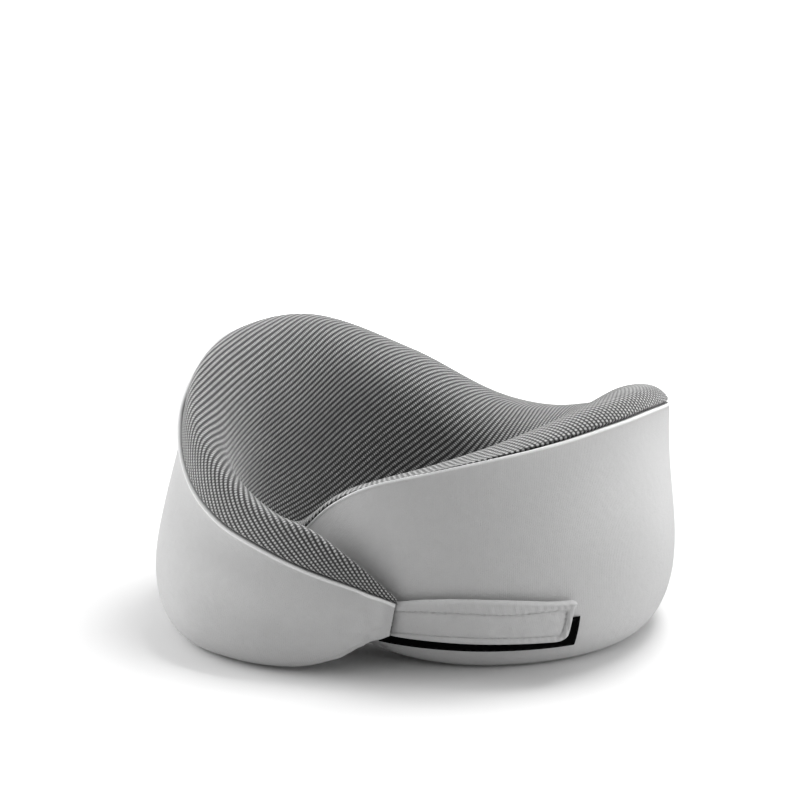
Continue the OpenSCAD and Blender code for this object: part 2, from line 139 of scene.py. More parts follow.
def profile_at(angle):
    """The seven sizes of a station, by Hermite interpolation."""
    found = np.searchsorted(STATION_ANGLES, angle, side="right") - 1
    i = int(np.clip(found, 0, len(STATION_ANGLES) - 2))
    span = STATION_ANGLES[i + 1] - STATION_ANGLES[i]
    t = (angle - STATION_ANGLES[i]) / span
    sizes = ((2 * t**3 - 3 * t**2 + 1) * STATION_SIZES[i]
             + (t**3 - 2 * t**2 + t) * span * STATION_SLOPES[i]
             + (3 * t**2 - 2 * t**3) * STATION_SIZES[i + 1]
             + (t**3 - t**2) * span * STATION_SLOPES[i + 1])
    return sizes.tolist()


def cubic(values, at):
    """Catmull-Rom interpolation of values (n, k) at fractional indices (m,)."""
    count = len(values)
    i = np.clip(np.floor(at).astype(int), 0, count - 2)
    t = (at - i)[:, None]
    before, start, end, after = (values[np.clip(i + step, 0, count - 1)]
                                 for step in (-1, 0, 1, 2))
    return 0.5 * (2 * start + (end - before) * t
                  + (2 * before - 5 * start + 4 * end - after) * t**2
                  + (3 * start - before - 3 * end + after) * t**3)


def zip_zone(angle):
    """1 over the zip under the back, 0 elsewhere."""
    return float(1 - smooth((abs(angle) - 52) / 8))


def section_curves(angle, depth=0.0):
    """Bezier control points [radius, height] of a cross section, at a depth under the surface.

    The five curves run from the bulge to the seam, to the crest, to halfway down the neck
    wall, to the underside, and from the underside back to the bulge.
    """
    bulge_r, seam_r, seam_z, crest_r, crest_z, neck_r, lift = profile_at(min(angle, TIP_ANGLE))
    slope = math.atan2(0.62 * (crest_z - seam_z), 0.18 * (seam_r - crest_r))
    mitre = min(2.0, max(0.3, (1 - math.sin(slope)) / max(1e-6, math.cos(slope))))
    bulge_r -= depth
    seam_r -= depth
    seam_z -= mitre * depth
    crest_z -= depth
    neck_r += depth
    base_z = max(0.0, lift) + depth
    bulge_z = base_z + 0.36 * (seam_z - base_z)
    neck_z = base_z + 0.5 * (crest_z - base_z)
    foot_in = neck_r + 0.55 * (bulge_r - neck_r)
    foot_out = foot_in + 0.2 * (bulge_r - foot_in)
    return np.array([
        [[bulge_r, bulge_z], [bulge_r, bulge_z + 0.42 * (seam_z - bulge_z)],
         [seam_r, seam_z - 0.35 * (seam_z - bulge_z)], [seam_r, seam_z]],
        [[seam_r, seam_z],
         [seam_r + 0.18 * (crest_r - seam_r), seam_z + 0.62 * (crest_z - seam_z)],
         [crest_r - 0.5 * (crest_r - seam_r), crest_z], [crest_r, crest_z]],
        [[crest_r, crest_z], [crest_r + 0.72 * (neck_r - crest_r), crest_z],
         [neck_r, neck_z + 0.55 * (crest_z - neck_z)], [neck_r, neck_z]],
        [[neck_r, neck_z], [neck_r, neck_z - 0.85 * (neck_z - base_z)],
         [foot_in - 0.85 * (foot_in - neck_r), base_z], [foot_in, base_z]],
        [[foot_out, base_z], [foot_out + 0.55 * (bulge_r - foot_out), base_z],
         [bulge_r, bulge_z - 0.6 * (bulge_z - base_z)], [bulge_r, bulge_z]]])


def bezier(curve, t=CURVE_STEPS):
    t = t[:, None]
    return ((1 - t)**3 * curve[0] + 3 * (1 - t)**2 * t * curve[1]
            + 3 * (1 - t) * t * t * curve[2] + t**3 * curve[3])


def arc(path):
    """Length along a path at each of its points."""
    return np.r_[0, np.cumsum(np.linalg.norm(np.diff(path, axis=0), axis=1))]


def resample(path, distances):
    lengths = arc(path)
    keep = np.r_[True, np.diff(lengths) > 1e-9]
    path, lengths = path[keep], lengths[keep]
    return np.stack([np.interp(distances, lengths, path[:, k]) for k in (0, 1)], -1)


def cover_path(angle):
    """Underside strip, round the bulge, up to the seam."""
    outer, _, _, foot, under = section_curves(angle)
    over_zip = zip_zone(angle)
    foot_in, base_z = foot[3]
    foot_out = under[0][0]
    start = (1 - over_zip) * (foot_in + 0.35) + over_zip * ZIP_RADIUS
    strip = [[start, base_z]]
    if start < foot_out:
        strip.append([lerp(start, foot_out, 0.5), base_z])
    low = bezier(under)
    low = low[low[:, 0] > start + 0.2]
    return np.concatenate([np.array(strip), low, bezier(outer)[1:]])


def mesh_path(angle):
    """Seam, over the crest, down the neck wall, to the underside."""
    _, roll, neck, foot, _ = section_curves(angle)
    over_zip = zip_zone(angle)
    stop = (1 - over_zip) * 1.0 + over_zip * 0.8
    return np.concatenate([bezier(roll), bezier(neck)[1:], bezier(foot, CURVE_STEPS * stop)[1:]])


def around(section, radians):
    """Points [radius, height] turned about the neck opening's axis."""
    radius, height = section[:, 0], section[:, 1]
    return np.stack([radius * np.sin(radians), radius * np.cos(radians), height], -1)


def place(section, angle):
    """Points [radius, height] of a cross section, in metres in the ring's frame.

    Beyond the last station the section shrinks to round off the right tip. The left tip
    leans back at its foot.
    """
    if angle > TIP_ANGLE:
        outer, roll, neck, foot, _ = section_curves(angle)
        middle = np.array([(outer[0][0] + neck[3][0]) / 2, (foot[3][1] + roll[3][1]) / 2])
        scale = math.sqrt(max(0.0, 1 - ((angle - TIP_ANGLE) / TIP_ROUND)**2))
        section = middle + scale * (section - middle)
    radians = math.radians(angle)
    if angle < -186:
        below = np.clip((LEAN_TOP - section[:, 1]) / LEAN_HEIGHT, 0, 1.1)
        radians = radians + np.radians(TIP_LEAN * below * float(smooth((-angle - 186) / 14)))
    return (around(section, radians) + CENTRE) * MM


def tip_turn(angle):
    """Radians turned over the rounded right tip."""
    return math.asin(min(1, (angle - TIP_ANGLE) / TIP_ROUND)) if angle > TIP_ANGLE else 0.0


def pinch(angle):
    """Scale of the fabric details, smaller at the left tip."""
    return 1 - 0.45 * float(smooth((-angle - 182) / 18))


# ------------------------------------------------------------------ noise with a fixed seed
RANDOM = np.random.default_rng(7)
WAVE_RANGES = ((0, math.tau), (0, math.tau), (0.6, 1.4), (0.6, 1.4))  # two phases, two rates
WAVES = [[RANDOM.uniform(low, high) for low, high in WAVE_RANGES] for _ in range(24)]


def ripple(x, y, length_x, length_y, first, count):
    """Wandering noise in about -1..1, with the given wavelengths, from a run of WAVES."""
    total = 0.0
    for phase_x, phase_y, rate_x, rate_y in WAVES[first:first + count]:
        swing = math.tau * y * rate_y / length_y + phase_y
        total = total + (np.sin(math.tau * (x * rate_x / length_x + 0.35 * np.sin(swing))
                                + phase_x) * np.cos(swing))
    return total / count * 1.6


# ------------------------------------------------------------------ mesh helpers
def shade_smooth(mesh):
    mesh.polygons.foreach_set("use_smooth", np.ones(len(mesh.polygons), bool))


def make_mesh(name, points, faces, fabric=None, borders=None):
    """Object with optional fabric coordinates; edges inside one border group are sharp."""
    mesh = bpy.data.meshes.new(name)
    mesh.from_pydata([tuple(point) for point in points], [],
                     [tuple(int(i) for i in face) for face in faces])
    mesh.update()
    shade_smooth(mesh)
    if fabric is not None:
        layer = mesh.attributes.new("fab", "FLOAT_VECTOR", "POINT")
        layer.data.foreach_set("vector", np.asarray(fabric, np.float32).ravel())
    if borders is not None:
        edges = np.zeros(len(mesh.edges) * 2, np.int64)
        mesh.edges.foreach_get("vertices", edges)
        start, end = borders[edges.reshape(-1, 2)].T
        layer = mesh.attributes.new("sharp_edge", "BOOLEAN", "EDGE")
        layer.data.foreach_set("value", (start > 0) & (start == end))
    piece = bpy.data.objects.new(name, mesh)
    scene.collection.objects.link(piece)
    return piece


def grid_faces(rows, columns, first=0, flip=False, pole=False):
    faces = []
    for i in range(rows - 1):
        for j in range(columns - 1):
            corner = first + i * columns + j
            face = (corner, corner + 1, corner + columns + 1, corner + columns)
            if pole and i == rows - 2:
                face = (corner, corner + 1, first + (rows - 1) * columns)
            faces.append(face[::-1] if flip else face)
    return faces


def shell(name, outer, inner, fabric, pole=False, sharp_rim=True):
    """Closed sheet from outer and inner grids (n, m, 3). With pole the last row is one point."""
    rows, columns = outer.shape[:2]
    count = rows * columns
    last = count - columns
    faces = (grid_faces(rows, columns, pole=pole)
             + grid_faces(rows, columns, count, flip=True, pole=pole))
    for near in range(0, last, columns):
        far = near + columns
        near_end = far - 1
        far_end = last if pole and far == last else far + columns - 1
        faces += [(near, far, count + far, count + near),
                  (far_end, near_end, count + near_end, count + far_end)]
    for j in range(columns - 1):
        faces.append((j + 1, j, count + j, count + j + 1))
        if not pole:
            end = last + j
            faces.append((end, end + 1, count + end + 1, count + end))
    points = np.concatenate([outer.reshape(-1, 3), inner.reshape(-1, 3)])
    fabric = np.concatenate([fabric.reshape(-1, 3)] * 2)
    # each side of each sheet is one border group
    groups = np.zeros((rows, columns), int)
    groups[0, :] = 1
    if not pole:
        groups[-1, :] = 2
    groups[1:-1, 0] = 3
    groups[1:-1, -1] = 4
    groups = groups.ravel()
    borders = np.concatenate([groups, groups + 4 * (groups > 0)])
    if pole:  # drop the repeated pole vertices
        keep = np.ones(2 * count, bool)
        keep[last + 1:count] = False
        keep[count + last + 1:] = False
        renumbered = np.cumsum(keep) - 1
        points, fabric, borders = points[keep], fabric[keep], borders[keep]
        faces = [tuple(renumbered[list(face)]) for face in faces]
    return make_mesh(name, points, faces, fabric, borders if sharp_rim else None)


def loop_quad(i, j, columns, first=0):
    """Face between closed rings i and i + 1."""
    near = first + i * columns
    far = near + columns
    after = (j + 1) % columns
    return near + j, near + after, far + after, far + j


def capped_faces(rows, columns, first=0):
    """Faces of a solid made of closed rings with flat caps."""
    faces = [loop_quad(i, j, columns, first) for i in range(rows - 1) for j in range(columns)]
    faces.append(tuple(first + j for j in range(columns - 1, -1, -1)))
    faces.append(tuple(first + (rows - 1) * columns + j for j in range(columns)))
    return faces


# ------------------------------------------------------------------ cloth settling
def cloth_offsets(sheet, pinned, grow, pressure, limit):
    """Settle a sheet (n, m, 3, metres) as pinned cloth; each point's move along its normal."""
    rows, columns = sheet.shape[:2]
    trial = make_mesh("cloth_trial", sheet.reshape(-1, 3), grid_faces(rows, columns))
    group = trial.vertex_groups.new(name="sewn")
    group.add([int(i) for i in np.flatnonzero(pinned.ravel())], 1.0, "REPLACE")
    cloth = trial.modifiers.new("Cloth", "CLOTH")
    settings = cloth.settings
    settings.quality = 6
    settings.mass = 0.02
    settings.tension_stiffness = 12
    settings.compression_stiffness = 12
    settings.shear_stiffness = 5
    settings.bending_stiffness = 0.02
    settings.use_pressure = pressure != 0
    settings.uniform_pressure_force = pressure
    settings.vertex_group_mass = "sewn"
    settings.shrink_min = -grow
    settings.effector_weights.gravity = 0.0
    cloth.collision_settings.use_collision = False
    cloth.point_cache.frame_start = 1
    cloth.point_cache.frame_end = 20
    for step in range(1, 21):
        scene.frame_set(step)
    settled = trial.evaluated_get(bpy.context.evaluated_depsgraph_get())
    mesh = settled.to_mesh()
    points = np.zeros(len(mesh.vertices) * 3)
    mesh.vertices.foreach_get("co", points)
    settled.to_mesh_clear()
    bpy.data.objects.remove(trial)
    scene.frame_set(1)
    move = (points.reshape(rows, columns, 3) - sheet) / MM
    normal = np.cross(np.gradient(sheet, axis=1), np.gradient(sheet, axis=0))
    normal /= np.maximum(np.linalg.norm(normal, axis=-1), 1e-12)[..., None]
    height = np.nan_to_num((move * normal).sum(-1))
    return limit * np.tanh(height / limit)


FOLD_STEP = 2.0
FOLD_ANGLES = np.arange(-200.0, -147.0, FOLD_STEP)
FOLD_DOWN = np.linspace(0, 1, 25)        # fractions of the way down from the seam


def settle_tip_folds():
    """Creases of the left tip's cover, over FOLD_ANGLES and FOLD_DOWN."""
    sheet = []
    for angle in FOLD_ANGLES:
        path = cover_path(angle)
        sheet.append(place(resample(path, arc(path)[-1] * (1 - FOLD_DOWN)), angle))
    sheet = np.array(sheet)
    pinned = np.ones(sheet.shape[:2], bool)
    pinned[1:-1, 1:-1] = False
    folds = cloth_offsets(sheet, pinned, grow=0.035, pressure=0.0, limit=1.1)
    # the foam fills the arm, so only the sewn tip keeps its creases
    return folds * (0.04 + 0.80 * smooth((-FOLD_ANGLES - 183) / 12))[:, None]


FOLDS = np.zeros((len(FOLD_ANGLES), len(FOLD_DOWN)))
FOLDS = settle_tip_folds()


def tip_folds(angle, down):
    """Soft creases of the left tip's cloth, at fractions of the way down from the seam."""
    if angle > FOLD_ANGLES[-1]:
        return 0.0
    column = cubic(FOLDS, np.array([(angle - FOLD_ANGLES[0]) / FOLD_STEP]))[0]
    return cubic(column[:, None], np.clip(down, 0, 1) * (len(FOLD_DOWN) - 1))[:, 0]


# ------------------------------------------------------------------ cover and mesh sheets
# distances from the seam, close together beside it
NEAR_SEAM = np.array([0, 0.3, 0.6, 0.95, 1.3, 1.7, 2.15, 2.7, 3.4, 4.3, 5.5, 7.2, 9.2])
SEAM_DIVE = 1.9                          # how deep both fabrics dive into the seam
COVER_THICKNESS, MESH_THICKNESS = 1.2, 2.4
COVER_RADIUS, SEAM_RADIUS = 122, 118     # turn angles into lengths along the ring

# Turned-up lower edges. Columns: radius shift, share of the lean, share of the height.
COVER_LIP = np.array([[0, -1, 1], [0, -0.55, 0.9], [0, -0.1, 0.6], [0.05, 0, 0.25],
                      [0.35, 0, 0.08]])
MESH_LIP = np.array([[0.45, 0, 0.08], [0.75, 0, 0.25], [0.8, 0.1, 0.6], [0.8, 0.55, 0.9],
                     [0.8, 1, 1]])
# Radius and height from each lip point to its partner on the sheet's inner side.
COVER_LIP_INSIDE = np.array([[0.1, 0.35], [0.9, 0.3], [1.1, 0.25], [1.1, 0.55], [1.0, 1.0]])
MESH_LIP_INSIDE = np.array([[-0.6, 1.6], [-1.3, 1.5], [-1.5, 1.1], [-1.2, 0.5], [-0.1, 0.35]])


def seam_wave(angle):
    """Slow change of the seam's depth along the ring."""
    return float(1 + 0.25 * ripple(np.radians(angle) * SEAM_RADIUS, 0, 34, 50, 12, 5))


def seam_shift(angle):
    """How far the cover is drawn over the roll beyond the seam's own line, on the left hump."""
    return 1.5 * bell(angle, -102, 24)


def left_hump(angle):
    """1 at the side of the left arm, falling to 0 away from it."""
    return bell(angle, -106, 26)


def seam_normal(angle):
    """Direction across the seam shared by the two fabrics."""
    outer, roll = section_curves(angle)[:2]
    below = np.diff(bezier(outer, np.array([0.97, 1.0])), axis=0)[0]
    above = np.diff(bezier(roll, np.array([0.0, 0.03])), axis=0)[0]
    shift = seam_shift(angle)
    if shift > 0.02:
        ends = resample(mesh_path(angle), np.array([max(0.0, shift - 0.4), shift + 0.4]))
        t = min(1.0, shift / 0.8)
        below = lerp(unit(below), ends[1] - ends[0], t)
        above = lerp(unit(above), ends[1] - ends[0], t)
    tangent = unit(below) + unit(above)
    return unit(np.array([tangent[1], -tangent[0]]))


def sheet_normals(path, along, from_seam, angle, reach, fade):
    """Outward normals of a path, turned to the seam's normal within the fade distance."""
    ends = np.clip(along[:, None] + np.array([-reach, reach]), 0, arc(path)[-1])
    pairs = resample(path, ends.ravel()).reshape(-1, 2, 2)
    tangent = unit(pairs[:, 1] - pairs[:, 0])
    normal = np.stack([tangent[:, 1], -tangent[:, 0]], -1)
    near = smooth(1 - from_seam / fade)[:, None]
    return unit(normal * (1 - near) + seam_normal(angle) * near)


def lip_points(table, radius, base_z, lean, height):
    return np.stack([radius + table[:, 0] + lean * table[:, 1],
                     base_z + height * table[:, 2]], -1)


def cover_row(angle):
    """Outer and inner section of the smooth cover, lower edge to seam, and its fabric map.

    The fabric map holds the length round the ring and minus the distance from the seam.
    """
    path = cover_path(angle)
    shift = seam_shift(angle)
    if shift > 0.02:
        extra = resample(mesh_path(angle), np.linspace(0, shift, 7)[1:])
        path = np.concatenate([path, extra])
    length = arc(path)[-1]
    down = np.r_[NEAR_SEAM, np.linspace(NEAR_SEAM[-1], length - 1.0, 50)[1:]][::-1]
    base = resample(path, length - down)
    normal = sheet_normals(path, length - down, down, angle, reach=0.4, fade=2.2)
    size = pinch(angle)
    # rolled edge beside the seam, and the dive into it
    roll = 0.55 + 1.5 * left_hump(angle)
    offset = size * (roll * bell(down, 1.2, 0.6 + 0.35 * roll)
                     - SEAM_DIVE * seam_wave(angle) * bell(down, 0, 0.55))
    offset = offset + tip_folds(angle, down / length)
    thickness = COVER_THICKNESS * size * (1 - 0.4 * bell(down, 0, 1.5))
    # the lower edge stands taller over the zip
    over_zip = zip_zone(angle)
    lip = lip_points(COVER_LIP, base[0, 0] - 1.0, base[0, 1], lean=lerp(0.0, 1.6, over_zip),
                     height=lerp(1.2, 5.75, over_zip) * size)
    outer = np.concatenate([lip, base + normal * offset[:, None]])
    inner = np.concatenate([lip + COVER_LIP_INSIDE * size,
                            base + normal * (offset - thickness)[:, None]])
    across = np.concatenate([-down[0] - np.array([5, 4, 3, 2, 1]), -down])
    along = math.radians(min(angle, TIP_ANGLE)) * COVER_RADIUS + tip_turn(angle) * TIP_ARC
    fabric = np.stack([np.full(len(across), along), across, np.zeros(len(across))], -1)
    return outer, inner, fabric


# Rib directions on the mesh, in degrees from the ring's run, positive towards the underside.
# RIB_PLACES are fractions of the way from the seam to halfway down the neck wall.
# Columns of RIBS: angle round the ring, then the direction at each of those places.
RIB_PLACES = [0.08, 0.32, 0.62, 0.95]
RIBS = np.array([
    [-200, 25, 25, 25, 25], [-185, 28, 28, 28, 28], [-170, 32, 24, 20, 18],
    [-155, 47, 42, 30, 25], [-140, 52, 42, 28, 22], [-125, 42, 20, 15, 14],
    [-110, 6, 10, 4, 0], [-95, -3, -4, -10, -17], [-80, -3, -11, -22, -30],
    [-65, -12, -26, -33, -41], [-50, -30, -40, -43, -47], [-35, -40, -46, -45, -47],
    [-20, -50, -56, -51, -49], [-8, -54, -70, -58, -52], [4, -78, -98, -68, -55],
    [12, -100, -122, -80, -57], [24, -112, -130, -88, -60], [45, -108, -112, -84, -66],
    [85, -96, -92, -82, -74], [130, -104, -100, -92, -84], [200, -108, -106, -100, -94],
    [220, -108, -106, -100, -94]], float)
# (angles, values) of the spacing of dots along the ribs, and of how tightly the ribs sit
DOT_PITCH = ([-170, -135, -105, 40, 80, 220], [1.5, 1.45, 1.2, 1.2, 1.9, 1.9])
RIB_CLOSENESS = ([-170, -135, -105, 40, 75, 220], [1.12, 1.10, 1.0, 1.0, 1.25, 1.25])
# grid on which the rib fields are fitted
FIELD_ANGLES = np.arange(-204, 217, 6.0)
FIELD_DOWN = np.linspace(0, 1.5, 21)
FIELD_SMOOTHING = 0.09


def panel_points(angle):
    """Points of the mesh panel at one grid angle, at all the FIELD_DOWN fractions."""
    path = mesh_path(max(angle, -TIP_ANGLE))
    lengths = arc(path)
    section = resample(path, np.minimum(FIELD_DOWN * lengths[NECK_MIDDLE], lengths[-1]))
    return around(section, math.radians(angle))


def rib_axes(along_ring, down, direction):
    """Rib direction, and the direction across it, as factors of the two skew grid axes."""
    cosine, sine = math.cos(direction), math.sin(direction)
    rib = cosine * along_ring + sine * down
    length = np.linalg.norm(rib)
    rib, cosine, sine = rib / length, cosine / length, sine / length
    skew = float(along_ring @ down)
    across = ((down - (down @ rib) * rib) * cosine
              + (-along_ring + (along_ring @ rib) * rib) * sine)
    across /= np.linalg.norm(across)
    factors = np.linalg.solve(np.array([[1, skew], [skew, 1]]),
                              [across @ along_ring, across @ down])
    return (cosine, sine), factors


def solve_banded(matrix, sums, band):
    """Solve matrix @ x = sums by elimination within the band."""
    count = len(matrix)
    for i in range(count - 1):
        end = min(count, i + band)
        factors = matrix[i + 1:end, i] / matrix[i, i]
        matrix[i + 1:end, i:end] -= np.outer(factors, matrix[i, i:end])
        sums[i + 1:end] -= np.outer(factors, sums[i])
    solution = np.zeros_like(sums)
    for i in range(count - 1, -1, -1):
        end = min(count, i + band)
        solution[i] = (sums[i] - matrix[i, i + 1:end] @ solution[i + 1:end]) / matrix[i, i]
    return solution


def fit_fields():
    """Least-squares fields over the panel: mm counted across the ribs, dots along them."""
    rows, columns = len(FIELD_ANGLES), len(FIELD_DOWN)
    points = np.array([panel_points(angle) for angle in FIELD_ANGLES])
    index = np.arange(rows * columns).reshape(rows, columns)
    matrix = np.eye(rows * columns) * 1e-9
    sums = np.zeros((rows * columns, 2))

    def add(terms, rib_target, dot_target, weight):
        """Ask that the weighted sum of grid values meets the targets of the two fields."""
        terms = [(spot, factor * weight) for spot, factor in terms]
        for spot, factor in terms:
            for other, other_factor in terms:
                matrix[spot, other] += factor * other_factor
            sums[spot] += (factor * rib_target * weight, factor * dot_target * weight)

    for i in range(rows - 1):
        angle = 0.5 * (FIELD_ANGLES[i] + FIELD_ANGLES[i + 1])
        directions = [np.interp(angle, RIBS[:, 0], RIBS[:, 1 + k]) for k in range(4)]
        pitch = np.interp(angle, *DOT_PITCH)
        closeness = np.interp(angle, *RIB_CLOSENESS)
        for j in range(columns - 1):
            if FIELD_DOWN[j] > 1.05:
                continue
            down = 0.5 * (FIELD_DOWN[j] + FIELD_DOWN[j + 1])
            direction = math.radians(np.interp(down, RIB_PLACES, directions))
            p00, p01 = points[i, j], points[i, j + 1]
            p10, p11 = points[i + 1, j], points[i + 1, j + 1]
            ring_step = 0.5 * (p10 + p11 - p00 - p01)
            down_step = 0.5 * (p01 + p11 - p00 - p10)
            ring_size = np.linalg.norm(ring_step)
            down_size = max(np.linalg.norm(down_step), 1e-6)
            rib, across = rib_axes(ring_step / ring_size, down_step / down_size, direction)
            i00, i01, i10, i11 = index[i:i + 2, j:j + 2].ravel()
            half_ring, half_down = 0.5 / ring_size, 0.5 / down_size
            ring_slope = [(i10, half_ring), (i11, half_ring), (i00, -half_ring),
                          (i01, -half_ring)]
            down_slope = [(i01, half_down), (i11, half_down), (i00, -half_down),
                          (i10, -half_down)]
            for axes, targets, weight in ((rib, (0.0, 1.0 / pitch), 3.0),
                                          (across, (closeness, 0.0), 1.0)):
                add([(spot, factor * axes[0]) for spot, factor in ring_slope]
                    + [(spot, factor * axes[1]) for spot, factor in down_slope],
                    *targets, weight)
    for i in range(rows):
        for j in range(columns):
            if 0 < i < rows - 1:
                add([(index[i - 1, j], 1), (index[i, j], -2), (index[i + 1, j], 1)],
                    0, 0, FIELD_SMOOTHING)
            if 0 < j < columns - 1:
                add([(index[i, j - 1], 1), (index[i, j], -2), (index[i, j + 1], 1)],
                    0, 0, FIELD_SMOOTHING * 2)
    add([(index[rows // 2, 0], 1)], 0, 0, 1.0)   # fixes the count's zero
    # the unknowns are numbered row by row, so the matrix is narrow-banded
    solution = solve_banded(matrix, sums, band=2 * columns + 2)
    return solution.T.reshape(2, rows, columns)


RIB_FIELD, DOT_FIELD = fit_fields()


def field_at(field, angle, down):
    """A fitted field at one angle; past the last row the last slope carries on."""
    angle = min(max(angle, -TIP_ANGLE), TIP_ANGLE + 12)
    row = (angle - FIELD_ANGLES[0]) / (FIELD_ANGLES[1] - FIELD_ANGLES[0])
    column = cubic(field, np.array([row]))[0]
    at, last = down / (FIELD_DOWN[1] - FIELD_DOWN[0]), len(FIELD_DOWN) - 1
    return (cubic(column[:, None], np.clip(at, 0, last))[:, 0]
            + np.maximum(at - last, 0) * (column[-1] - column[-2]))


def mesh_row(angle):
    """Outer and inner section of the mesh panel, seam to lower edge, and its fabric map.

    The fabric map holds the rib count in mm, the dot count and the distance from the seam.
    """
    path = mesh_path(angle)
    lengths = arc(path)
    shift = seam_shift(angle)
    down = np.r_[NEAR_SEAM, np.linspace(NEAR_SEAM[-1], lengths[-1] - 0.8 - shift, 88)[1:]]
    base = resample(path, down + shift)
    normal = sheet_normals(path, down + shift, down, angle, reach=0.5, fade=2.6)
    size = pinch(angle)
    # dive into the seam, and the hollow beside it on the left hump
    offset = (size * (-SEAM_DIVE * seam_wave(angle) * bell(down, 0, 0.9))
              - 1.4 * left_hump(angle) * bell(down, 4.0, 5.0))
    thickness = MESH_THICKNESS * size * (1 - 0.55 * bell(down, 0, 2.0))
    # the lower edge stands taller over the zip
    over_zip = zip_zone(angle)
    radius, base_z = base[-1]
    lip = lip_points(MESH_LIP, radius, base_z, lean=lerp(0.0, 1.4, over_zip),
                     height=lerp(1.2, 5.6 - base_z, over_zip) * size)
    outer = np.concatenate([base + normal * offset[:, None], lip])
    inner = np.concatenate([base + normal * (offset - thickness)[:, None],
                            lip + MESH_LIP_INSIDE * size])
    from_seam = np.r_[down, down[-1] + np.array([1, 2, 3, 4, 5])]
    rib_angle = (min(angle, TIP_ANGLE)
                 + math.degrees(tip_turn(angle) * TIP_ARC / TIP_NECK_RADIUS))
    fraction = (from_seam + shift) / lengths[NECK_MIDDLE]
    fabric = np.stack([field_at(RIB_FIELD, rib_angle, fraction),
                       field_at(DOT_FIELD, rib_angle, fraction), from_seam], -1)
    return outer, inner, fabric


def sheet_piece(name, row, side):
    """Shell of one half of the ring from its rows; the right half closes to a point."""
    if side == "left":
        angles = np.concatenate([np.arange(-TIP_ANGLE, -178, 0.6),
                                 np.arange(-178, -0.01, 0.8), [0.0]])
    else:
        tip = TIP_ANGLE + TIP_ROUND * np.sin(np.linspace(0, 1, 22)[1:] * math.pi / 2)
        angles = np.concatenate([np.arange(0, TIP_ANGLE - 0.01, 0.8), [TIP_ANGLE], tip])
    outer, inner, fabric = [], [], []
    for angle in angles:
        outer_row, inner_row, fabric_row = row(angle)
        outer.append(place(outer_row, angle))
        inner.append(place(inner_row, angle))
        fabric.append(fabric_row)
    return shell(name, np.array(outer), np.array(inner), np.array(fabric), side == "right")


# ------------------------------------------------------------------ foam and liner
FOAM_DEPTH = 3.5
LINER_DEPTHS = (2.75, 3.15)              # outer and inner face of the liner
OUTLINE_POINTS = 56
ZIP_CLEARANCE = 5.3                      # floor of the foam over the zip, less its depth


def core_angles(side):
    if side == "left":
        return np.r_[np.arange(-175, -0.1, 2.5), 0.0]
    return np.r_[np.arange(0, 204, 2.5), 205.0]


def core_section(angle, depth):
    """Closed outline at a depth, lifted clear of the zip under the back."""
    curves = [bezier(curve) for curve in section_curves(angle, depth)]
    path = np.concatenate([curve[:-1] for curve in curves[:3]] + curves[3:])
    outline = resample(path, np.linspace(0, arc(path)[-1], OUTLINE_POINTS, endpoint=False))
    lift = zip_zone(angle) * (ZIP_CLEARANCE + depth)
    if lift > 0:
        radius = outline[:, 0]
        low = (radius > 80) & (radius < 100)
        edge = ((radius > 76) & (radius <= 80)) | ((radius >= 100) & (radius < 104))
        outline[low, 1] = np.maximum(outline[low, 1], lift)
        outline[edge, 1] = np.maximum(outline[edge, 1], lift * 0.55)
    return outline


def core_rings(side, depth):
    return np.array([place(core_section(angle, depth)[::-1], angle)
                     for angle in core_angles(side)])


def foam_piece(side):
    rings = core_rings(side, FOAM_DEPTH)
    return make_mesh("foam_" + side + "_half", rings.reshape(-1, 3),
                     capped_faces(*rings.shape[:2]))


def liner_piece(side):
    """Thin skin round the foam, open at both ends but for its rims."""
    outer, inner = (core_rings(side, depth) for depth in LINER_DEPTHS)
    rows, columns = outer.shape[:2]
    count = rows * columns
    last = count - columns
    faces = []
    for i in range(rows - 1):
        for j in range(columns):
            faces.append(loop_quad(i, j, columns))
            faces.append(loop_quad(i, j, columns, count)[::-1])
    for j in range(columns):
        after = (j + 1) % columns
        faces.append((after, j, count + j, count + after))
        faces.append((last + j, last + after, count + last + after, count + last + j))
    points = np.concatenate([outer.reshape(-1, 3), inner.reshape(-1, 3)])
    return make_mesh("liner_" + side + "_half", points, faces)


